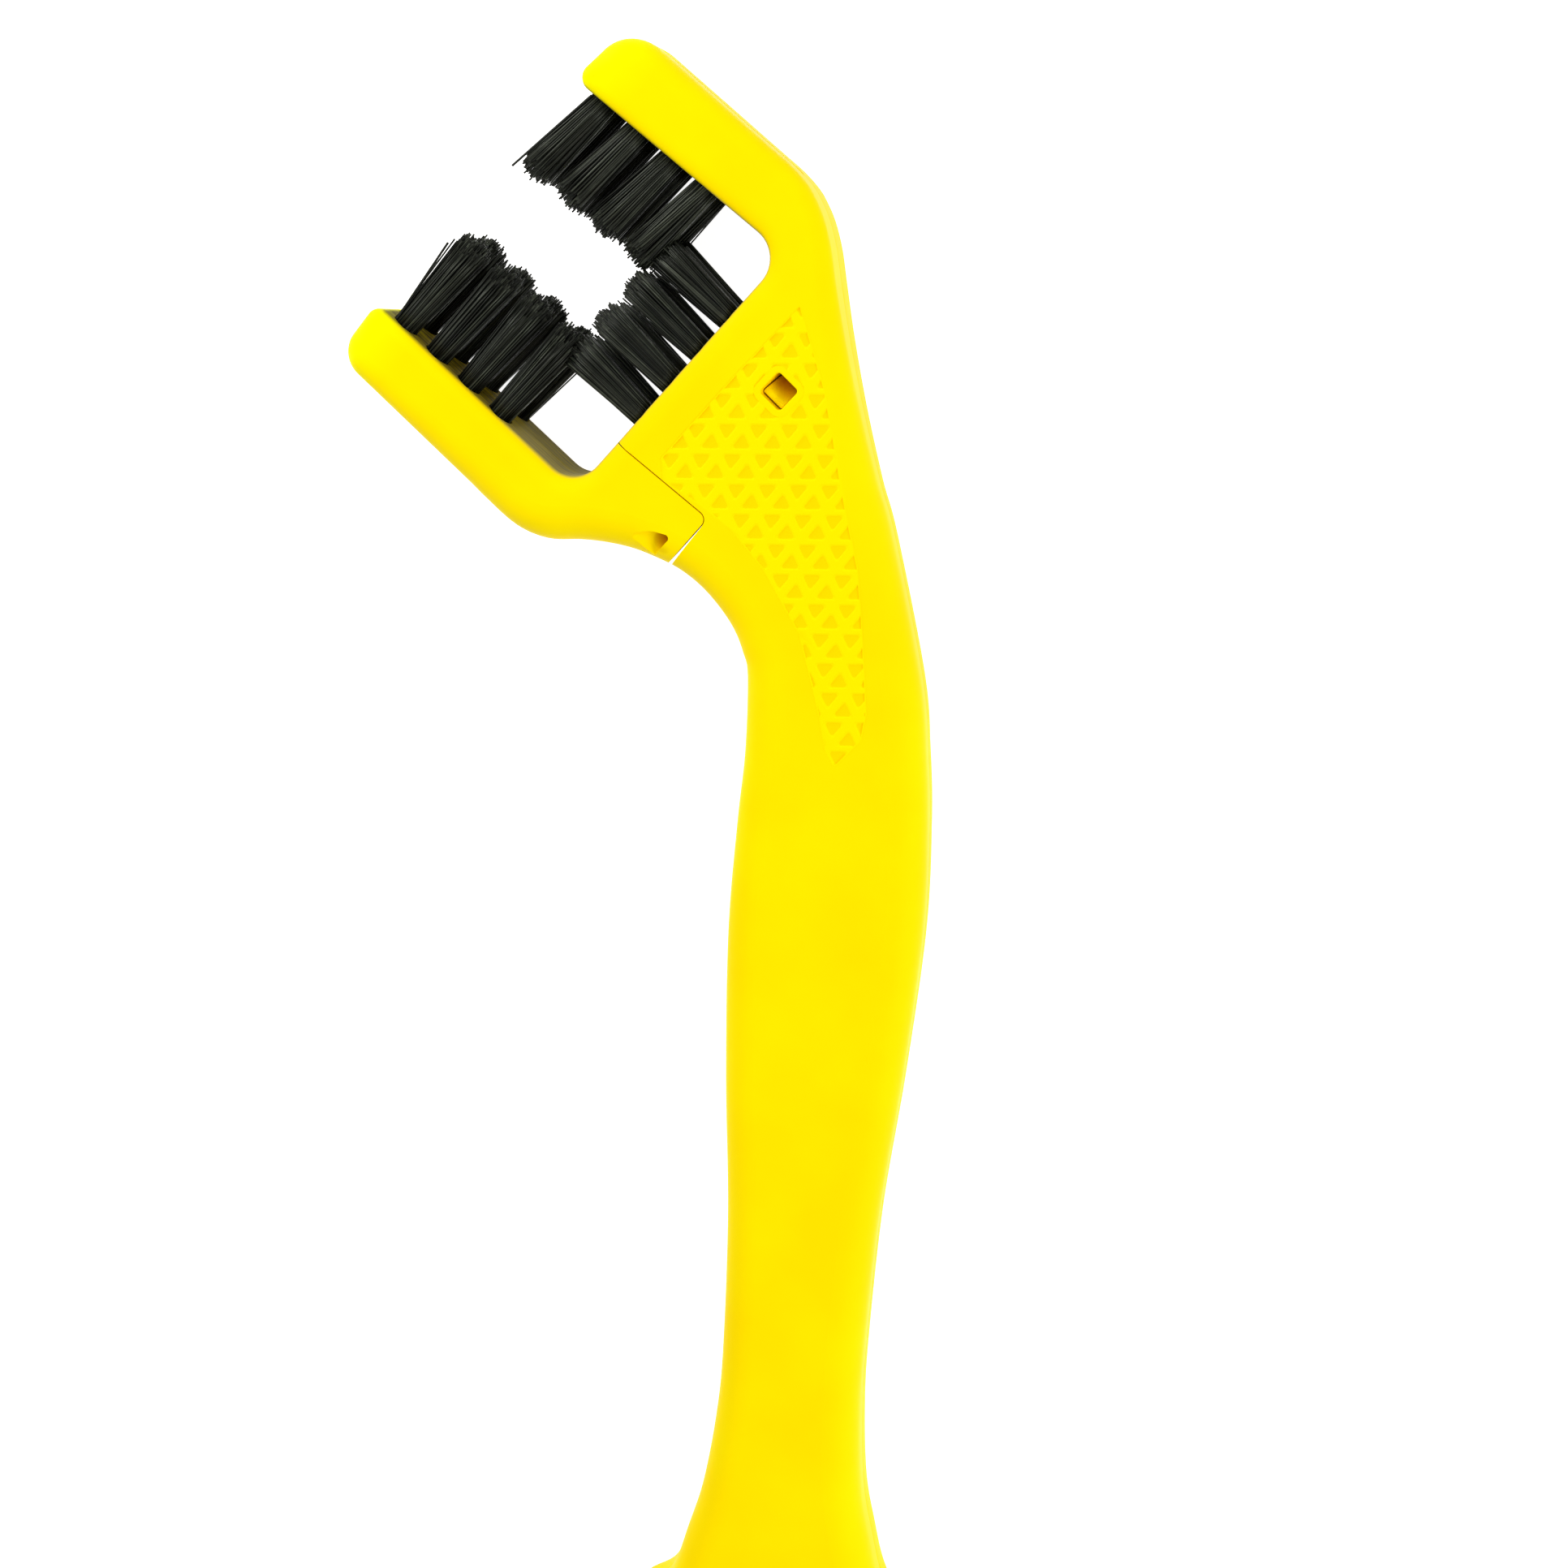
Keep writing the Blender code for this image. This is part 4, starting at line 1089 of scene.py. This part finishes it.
# %% [markdown]
# ## Slots in the far head
# The far brush isn't in the photograph. Two bristle strips are pressed into slots in its end
# face, the usual way to make such a brush.

# %% End slots
END_ROW_SPACING = 0.0056
STRIP_WALL = 0.0023
STRIP_WIDTH = 0.0034
STRIP_DEPTH = 0.0045
STRIP_LENGTH = END_WIDTH - 2 * STRIP_WALL
END_BRISTLE_LENGTH = 0.024


def end_frame(row_side):
    """The frame of one bristle strip: Z points out of the end face and Y across it."""
    mouth = end_point(0, END_LENGTH)
    aim = mouth - end_point(0, 0)
    return facing_frame(mouth, MID_PLANE + row_side * END_ROW_SPACING / 2, aim)


for row_side in (1, -1):
    sink = Matrix.Translation((0, 0, (OVERRUN - STRIP_DEPTH) / 2))
    size = (STRIP_WIDTH, STRIP_LENGTH, STRIP_DEPTH + OVERRUN)
    cut(handle, box_at(f"end_slot_{row_side}", end_frame(row_side) @ sink, size))
print("end slots cut")

# %% [markdown]
# ## The grip texture
# A patch of small triangular pockets covers the middle of the front, pointing down and up by
# turns. Geometry Nodes lay them out: the tree makes the lattice points, keeps those that a ray
# finds over the patch, and sets one soft pocket on each. The patch's edge then clips the pockets
# on it, as the mould does, and a margin round the window is left clear.

# %% One pocket
POCKET_SIDE = 0.00360
POCKET_HEIGHT = 0.00268
POCKET_LEAN = 0.18
POCKET_CORNER = 0.00038
CORNER_SHRINK = 0.35
POCKET_ARC_STEPS = 3
# how far in and how high the pocket's wall is, from above the face down to the floor
POCKET_LEVELS = [
    (0.0, 0.0006), (0.0, -0.00003), (0.00010, -0.00005), (0.00020, -0.00010),
    (0.00029, -0.00015), (0.00040, -0.00017),
]


def pocket_outline(inset):
    """A triangle that points down, with each side moved in and its corners rounded."""
    half = POCKET_SIDE / 2
    slant = math.hypot(half, POCKET_HEIGHT)
    top, wide = POCKET_HEIGHT / 3 - inset, half - inset * (slant + half) / POCKET_HEIGHT
    tip = inset * slant / half - POCKET_HEIGHT * 2 / 3
    corners = [Vector((x + POCKET_LEAN * y, y)) for x, y in ((wide, top), (-wide, top), (0, tip))]
    points = []
    for i, corner in enumerate(corners):
        ends = corners[i - 1], corner, corners[(i + 1) % 3]
        points += round_corner(*ends, POCKET_CORNER - inset * CORNER_SHRINK, POCKET_ARC_STEPS)
    return points


pocket = stacked("pocket", [(pocket_outline(inset), height) for inset, height in POCKET_LEVELS])
print("pocket faces", len(pocket.data.polygons))

# %% Geometry Nodes helpers
def new_tree(name, values):
    """A tree with an input for each value, of that value's kind; gives it and the wires by name."""
    tree = bpy.data.node_groups.new(name, "GeometryNodeTree")
    kinds = {"mesh": "Geometry"}
    kinds.update((label, type(value).__name__.capitalize()) for label, value in values.items())
    for label, kind in kinds.items():
        tree.interface.new_socket(label, in_out="INPUT", socket_type="NodeSocket" + kind)
    tree.interface.new_socket("mesh", in_out="OUTPUT", socket_type="NodeSocketGeometry")
    given = tree.nodes.new("NodeGroupInput").outputs
    return tree, {label: Wire(tree, given[label]) for label in kinds}


def close_tree(tree, parts, material):
    """Ends a tree: its parts joined, instances made real, then the material."""
    join = add_node(tree, "GeometryNodeJoinGeometry")
    for part in parts:
        tree.links.new(part.socket, join.socket.node.inputs[0])
    coated = join.then("RealizeInstances").then("SetMaterial", Material=material)
    add_node(tree, "NodeGroupOutput", {0: coated})


def run_tree(item, tree, values):
    """Runs a tree on an object with values for its named inputs, and keeps the plain mesh."""
    modifier = item.modifiers.new(tree.name, "NODES")
    modifier.node_group = tree
    for entry in tree.interface.items_tree:
        if entry.in_out == "INPUT" and entry.name in values:
            modifier[entry.identifier] = values[entry.name]
    settle(item)
    return item


print("Geometry Nodes helpers ready")

# %% The lattice tree
LATTICE_ORIGIN = Vector((-0.01276, 0.04752, 0))
LATTICE_ACROSS = Vector((0.00405, 0.0, 0))
LATTICE_DOWN = Vector((0.00055, -0.003845, 0))
STEPS_BACK = 5
LATTICE = dict(
    origin=LATTICE_ORIGIN - (LATTICE_ACROSS + LATTICE_DOWN) * STEPS_BACK,
    across=LATTICE_ACROSS, down=LATTICE_DOWN, pair_offset=Vector((0.00182, -0.00177, 0)),
    columns=12, rows=18, pocket=pocket, material=PLASTIC,
)
RAY_START = 0.01


def pocket_tree():
    tree, given = new_tree("pocket_lattice", LATTICE)
    columns = given["columns"]
    points = add_node(tree, "GeometryNodePoints", {"Count": columns * given["rows"]})
    index = add_node(tree, "GeometryNodeInputIndex")
    row = (index / columns).math("FLOOR")
    step = given["across"] * (index - row * columns) + given["down"] * row
    spot = given["origin"] + step
    ray = {
        "Target Geometry": given["mesh"],
        "Source Position": add_node(tree, "GeometryNodeInputPosition") + (0, 0, RAY_START),
        "Ray Direction": (0, 0, -1),
        "Ray Length": 2 * RAY_START,
    }
    hit = add_node(tree, "GeometryNodeRaycast", ray, "Is Hit")
    miss = add_node(tree, "FunctionNodeBooleanMath", {0: hit}, operation="NOT")
    form = add_node(tree, "GeometryNodeObjectInfo", {"Object": given["pocket"]}, "Geometry")
    sets = []
    for place, half_turn in ((spot, 0.0), (spot + given["pair_offset"], math.pi)):
        laid = points.then("SetPosition", Position=place)
        kept = laid.then("DeleteGeometry", {"domain": "POINT"}, Selection=miss)
        stand = {"Points": kept, "Instance": form, "Rotation": (0, 0, half_turn)}
        sets.append(add_node(tree, "GeometryNodeInstanceOnPoints", stand))
    close_tree(tree, sets, given["material"])
    return tree


lattice = pocket_tree()
print("tree", lattice.name, len(lattice.nodes), "nodes")

# %% Pockets over the patch
PATCH_MM = [
    (-3.2, 63.0), (-12.2, 53.7), (-21.4, 43.8), (-21.2, 41.0), (-16.7, 38.1), (-12.5, 35.0),
    (-8.2, 29.8), (-3.5, 21.4), (-1.4, 12.9), (-0.1, 6.0), (0.8, 4.2), (1.2, 4.2), (4.4, 7.5),
    (5.1, 11.0), (4.8, 17.4), (4.5, 23.7), (4.0, 30.0), (2.9, 35.2), (1.9, 40.4), (0.9, 46.5),
    (-0.2, 52.7), (-1.7, 57.8),
]
MILLIMETRE = 0.001
PATCH_DEPTH = 0.00003
PATCH_GROWTH = 0.0011
PATCH_MARGIN = 0.00025
WINDOW_MARGIN = 0.0009
patch = [Vector(point) * MILLIMETRE for point in PATCH_MM]


def grown(points, distance):
    """A flat outline moved outwards by a distance."""
    return [p - n * distance for p, n in zip(points, inward_normals(points))]


def inside(point, points):
    """Whether a point lies inside a flat outline."""
    odd = False
    for a, b in zip(points, points[1:] + points[:1]):
        if (a.y > point.y) != (b.y > point.y):
            odd ^= point.x < a.x + (point.y - a.y) / (b.y - a.y) * (b.x - a.x)
    return odd


def build_target(shape):
    """The face that the lattice's rays look for."""
    shape.faces.new([shape.verts.new((*p, 0.0)) for p in grown(patch, PATCH_GROWTH)])


def window_clear():
    """A block round the window, where there is no texture."""
    points, past = window_outline(WINDOW_MARGIN), 2 * OVERRUN
    return prism("window_clear", points, THICKNESS - past, THICKNESS + past, WINDOW_FRAME)


pockets = run_tree(add_object("pockets", mesh_from("pockets", build_target)), lattice, LATTICE)
pockets.data.transform(Matrix.Translation((0, 0, THICKNESS)))
bpy.data.objects.remove(pocket)
cut(pockets, prism("patch", patch, THICKNESS - OVERRUN, THICKNESS + OVERRUN), "INTERSECT")
recess_outline = grown(patch, PATCH_MARGIN)
recess = prism("recess", recess_outline, THICKNESS - PATCH_DEPTH, THICKNESS + OVERRUN)
for cutter in (pockets, recess):
    cut(cutter, window_clear())
cut(handle, recess)
cut(handle, pockets)
patch_mask = handle.data.attributes.new("patch", "FLOAT", "POINT")
reach = grown(patch, PATCH_MARGIN / 2)
marks = [float(v.co.z > MID_PLANE and inside(v.co, reach)) for v in handle.data.vertices]
patch_mask.data.foreach_set("value", marks)
print("handle faces", len(handle.data.polygons), "texture points", int(sum(marks)))

# %% [markdown]
# ## Finishing the mouldings
# Edges sharper than a set angle stay crisp, the rest is shaded smooth, and a Weighted Normal
# modifier makes the large flat faces win at their borders, so that the small rounds don't bend
# the light across the flats.

# %% Finish the mouldings
SHARP_ANGLE = math.radians(40.0)


def finish_moulding(item):
    """Smooth shading that leaves flats flat, and the yellow plastic."""
    mesh = item.data
    mesh.polygons.foreach_set("use_smooth", [True] * len(mesh.polygons))
    mesh.set_sharp_from_angle(angle=SHARP_ANGLE)
    item.modifiers.new("weigh", "WEIGHTED_NORMAL").keep_sharp = True
    settle(item)
    item.data.materials.clear()
    item.data.materials.append(PLASTIC)
    print(item.name, len(item.data.vertices), "vertices")


finish_moulding(handle)
finish_moulding(lower_jaw)
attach(handle, "handle")
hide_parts("handle")
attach(lower_jaw, "lower_jaw")
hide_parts("lower_jaw")

# %% [markdown]
# ## The spring finger
# The finger is a thin leaf that ends in a ramped hook, which shows in the window: high on the
# jaw's side and falling away from it. Its side view is drawn once and given a width, and a Bevel
# modifier breaks its edges.

# %% Spring finger
FINGER_THICKNESS = 0.0014
FINGER_ROOT_GAP = 0.0002
HOOK_GAP = 0.0002
HOOK_LENGTH = 0.0032
HOOK_CREST = 0.0007
HOOK_SUNK = 0.0013
FINGER_EDGE = 0.00022


def finger_side_view():
    top = TONGUE_THICKNESS / 2
    bottom = top - FINGER_THICKNESS
    root = FINGER_ROOT_GAP - FINGER_ROOT
    start = WINDOW_CENTRE - WINDOW_SIDE / 2 + HOOK_GAP
    end = start + HOOK_LENGTH
    crest = THICKNESS / 2 - HOOK_SUNK
    view = [(root, bottom), (end, bottom), (end, top), (start + HOOK_CREST, crest)]
    return [*view, (start, crest), (start, top), (root, top)]


finger = prism("spring_finger", finger_side_view(), 0.0, FINGER_WIDTH)
stand = head_frame(0, FINGER_WIDTH / 2 - TONGUE_CENTRE, MID_PLANE)
finger.data.transform(stand @ Matrix.Rotation(math.pi / 2, 4, "X"))
soften = finger.modifiers.new("soften", "BEVEL")
soften.width = FINGER_EDGE
soften.segments = 3
settle(finger)
finish_moulding(finger)
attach(finger, "lower_jaw")
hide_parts("latch_finger")

# %% [markdown]
# ## Bristles
# A tuft's filaments stand close at the root and fan out a little towards their trimmed tips.
# Hair could do this, but real meshes are needed, so a Geometry Nodes tree grows them. Each tuft
# is one vertex with its aim and rise kept on it. The tree multiplies it into filaments in a
# sunflower pattern, leans and trims each one, stands a thin four-sided rod there, and bends it.

# %% Bristle helpers
TUFT_CLEARANCE = 0.00014
TUFT = dict(
    filaments=170, tuft_radius=HOLE_RADIUS - TUFT_CLEARANCE, filament_radius=0.000125,
    root_depth=0.0004, spread=0.00065, clump_lean=0.00042, stray_lean=0.00016, trim=0.0009,
    bevel=0.0010, dome=0.0009, bend=0.00012, plug_depth=0.0027, seed=0, material=NYLON,
)
GOLDEN_ANGLE = math.pi * (3 - math.sqrt(5))
ROD_SIDES = 4
ROD_STEPS = 4
PLUG_SIDES = 20
DRIFT_SCALE = 1300.0
DRIFT_GAIN = 4.0
LEAN_SEED, BEND_SEED, TONE_SEED = 7, 13, 29


def random_float(seed):
    inputs = {2: 0.0, 3: 1.0, "Seed": seed}
    return seed.node("FunctionNodeRandomValue", inputs, 1, data_type="FLOAT")


def random_direction(seed):
    inputs = {0: (-1, -1, -1), 1: (1, 1, 1), "Seed": seed}
    return seed.node("FunctionNodeRandomValue", inputs, data_type="FLOAT_VECTOR")


def kept(tree, name, data_type="FLOAT_VECTOR"):
    """A value that was kept on the points under a name."""
    return add_node(tree, "GeometryNodeInputNamedAttribute", {"Name": name}, data_type=data_type)


def keep(points, name, value, data_type="FLOAT"):
    settings = {"data_type": data_type, "domain": "POINT"}
    return points.then("StoreNamedAttribute", settings, Name=name, Value=value)


def cylinder(tree, sides, radius, depth, steps=1):
    inputs = {"Vertices": sides, "Side Segments": steps, "Radius": radius, "Depth": depth}
    return add_node(tree, "GeometryNodeMeshCylinder", inputs, "Mesh")


def stand_on(points, form, aim, size=(1.0, 1.0, 1.0)):
    """A form on every point, with its Z turned along aim."""
    turned = aim.node("FunctionNodeAlignRotationToVector", {"Vector": aim}, axis="Z")
    inputs = {"Points": points, "Instance": form, "Rotation": turned, "Scale": size}
    return aim.node("GeometryNodeInstanceOnPoints", inputs)


print("filaments in a tuft", TUFT["filaments"])


# %% The bristle tree
def bristle_tree():
    tree, given = new_tree("bristles", TUFT)
    seed, depth = given["seed"], given["root_depth"]
    copies = {"domain": "POINT"}
    points = given["mesh"].then("DuplicateElements", copies, Amount=given["filaments"])
    aim, rise = kept(tree, "aim"), kept(tree, "rise", "FLOAT")

    # where each filament stands in its tuft
    rank = points.sibling("Duplicate Index") + 0.5
    share = (rank / given["filaments"]).math("SQRT")
    angle = rank * GOLDEN_ANGLE
    up = add_node(tree, "ShaderNodeCombineXYZ", {2: 1.0})
    side = aim.math("CROSS_PRODUCT", up)
    outward = (up * angle.math("COSINE") + side * angle.math("SINE")) * share
    position = add_node(tree, "GeometryNodeInputPosition")
    root = position + outward * given["tuft_radius"] + aim * (depth * -1.0)

    # how long it is: trimmed unevenly, shorter towards the brush's faces, and domed
    reach = rise + depth - random_float(seed) * given["trim"]
    row_side = (position.part("Z") - MID_PLANE).math("SIGN")
    reach -= outward.dot(up) * row_side * given["bevel"]
    reach -= share * share * given["dome"]

    # which way it runs: along the aim, out from the middle, with its clump, and astray
    drift = noise_at(root, DRIFT_SCALE, 1.0).sibling("Color") - (0.5, 0.5, 0.5)
    run = aim * reach + outward * given["spread"] + drift * (given["clump_lean"] * DRIFT_GAIN)
    run += random_direction(seed + LEAN_SEED) * given["stray_lean"]
    points = keep(points, "run", run, "FLOAT_VECTOR")
    bend = random_direction(seed + BEND_SEED) * given["bend"]
    points = keep(points, "bend", bend, "FLOAT_VECTOR")
    points = keep(points, "tone", random_float(seed + TONE_SEED))
    points = points.then("SetPosition", Position=root)

    # a rod one metre high on each point, scaled to its run and bent towards its tip
    rod = cylinder(tree, ROD_SIDES, given["filament_radius"], 1.0, ROD_STEPS)
    rod = keep(rod.then("Transform", Translation=(0, 0, 0.5)), "height", position.part("Z"))
    run = kept(tree, "run")
    size = add_node(tree, "ShaderNodeCombineXYZ", {0: 1.0, 1: 1.0, 2: run.math("LENGTH")})
    rods = stand_on(points, rod, run, size).then("RealizeInstances")
    curl = kept(tree, "bend") * kept(tree, "height", "FLOAT") ** 2.0
    rods = rods.then("SetPosition", Offset=curl).then("SetShadeSmooth")

    # a plug that fills the hole under the filaments
    sunk = aim * ((depth + given["plug_depth"] * 0.5) * -1.0)
    plug = cylinder(tree, PLUG_SIDES, given["tuft_radius"], given["plug_depth"])
    plugs = stand_on(given["mesh"].then("SetPosition", Offset=sunk), plug, aim)
    close_tree(tree, (rods, plugs), given["material"])
    return tree


bristles = bristle_tree()
print("tree", bristles.name, len(bristles.nodes), "nodes")

# %% Growing the tufts
WALLS = [("upper", "handle", 11), ("web", "handle", 23), ("lower", "lower_jaw", 37)]
STRAY_RADIUS = 0.00016
STRAY_SIDES = 6
STRAYS_MM = {
    "upper": ((-30.2, 89.6, 11.2), (-40.6, 80.9, 12.2)),
    "web": ((-11.2, 62.9, 11.2), (-18.0, 70.6, 12.0)),
    "lower": ((-57.7, 60.9, 11.2), (-49.4, 71.3, 12.4)),
}


def grow(name, roots, **changes):
    """Filaments on a vertex for each root, with its place, aim and rise."""
    mesh = bpy.data.meshes.new(name)
    mesh.from_pydata([place for place, _, _ in roots], [], [])
    aims = mesh.attributes.new("aim", "FLOAT_VECTOR", "POINT")
    aims.data.foreach_set("vector", [v for _, aim, _ in roots for v in aim])
    rises = mesh.attributes.new("rise", "FLOAT", "POINT")
    rises.data.foreach_set("value", [rise for _, _, rise in roots])
    return run_tree(add_object(name, mesh), bristles, {**TUFT, **changes})


def join(piece, other):
    """Adds a nylon object's mesh to a piece."""
    other.data.materials.append(NYLON)
    with bpy.context.temp_override(active_object=piece, selected_editable_objects=[piece, other]):
        bpy.ops.object.join()


def stray_filament(wall):
    """One filament that has worked loose from the tufts of a wall."""
    start, end = (Vector(place) * MILLIMETRE for place in STRAYS_MM[wall])
    run = end - start
    turn = run.to_track_quat("Z", "Y").to_matrix().to_4x4()
    stand = Matrix.Translation((start + end) / 2) @ turn
    sizes = {"radius1": STRAY_RADIUS, "radius2": STRAY_RADIUS, "depth": run.length}

    def build(shape):
        bmesh.ops.create_cone(shape, cap_ends=True, segments=STRAY_SIDES, matrix=stand, **sizes)

    return add_object("stray_" + wall, mesh_from("stray_" + wall, build))


for wall, body, seed in WALLS:
    own = [tuft for tuft in tufts if tuft[0] == wall]
    roots = [((*place, height), (*aim, 0.0), rise) for _, place, height, aim, rise in own]
    piece = grow(wall + "_bristles", roots, seed=seed)
    join(piece, stray_filament(wall))
    nodes = [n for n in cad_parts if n.startswith(wall + "_tuft_")]
    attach(piece, body)
    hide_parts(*nodes)
    print(piece.name, len(piece.data.polygons), "faces, stands for", len(nodes))

# %% [markdown]
# ## The far brush
# Each strip is a bar that fits its slot and carries a close row of longer filaments. The same
# tree grows them, from a row of vertices along the bar.

# %% Far brush
END_TUFTS = 13
END_MARGIN = 0.0022
END_TUFT = dict(
    filaments=90, tuft_radius=0.00142, filament_radius=0.00013, spread=0.0011, clump_lean=0.0006,
    stray_lean=0.0006, trim=0.0008, bevel=0.0, bend=0.0007, plug_depth=0.0006,
)
STRIP_GAP = 0.00012
BAR_SHORTER = 0.0007
BAR_DROP = 0.0002
BAR_EDGE = 0.0003


def end_brush(row, row_side, seed):
    stand = end_frame(row_side)
    aim = (stand @ Vector((0, 0, 1, 0))).to_3d()
    pitch = (STRIP_LENGTH - 2 * END_MARGIN) / (END_TUFTS - 1)
    offsets = [(index - (END_TUFTS - 1) / 2) * pitch for index in range(END_TUFTS)]
    roots = [(stand @ Vector((0, offset, 0)), aim, END_BRISTLE_LENGTH) for offset in offsets]
    piece = grow("end_bristles_" + row + "_nylon", roots, seed=seed, **END_TUFT)
    place = stand @ Matrix.Translation((0, 0, -STRIP_DEPTH / 2 - BAR_DROP))
    width, length = STRIP_WIDTH - 2 * STRIP_GAP, STRIP_LENGTH - 2 * STRIP_GAP
    size = (width, length, STRIP_DEPTH - BAR_SHORTER)
    join(piece, box_at("bar_" + row, place, size, BAR_EDGE))
    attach(piece, "handle")
    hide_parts("end_bristles_" + row)
    print(piece.name, len(piece.data.polygons), "faces")


end_brush("front", 1, 51)
end_brush("back", -1, 67)
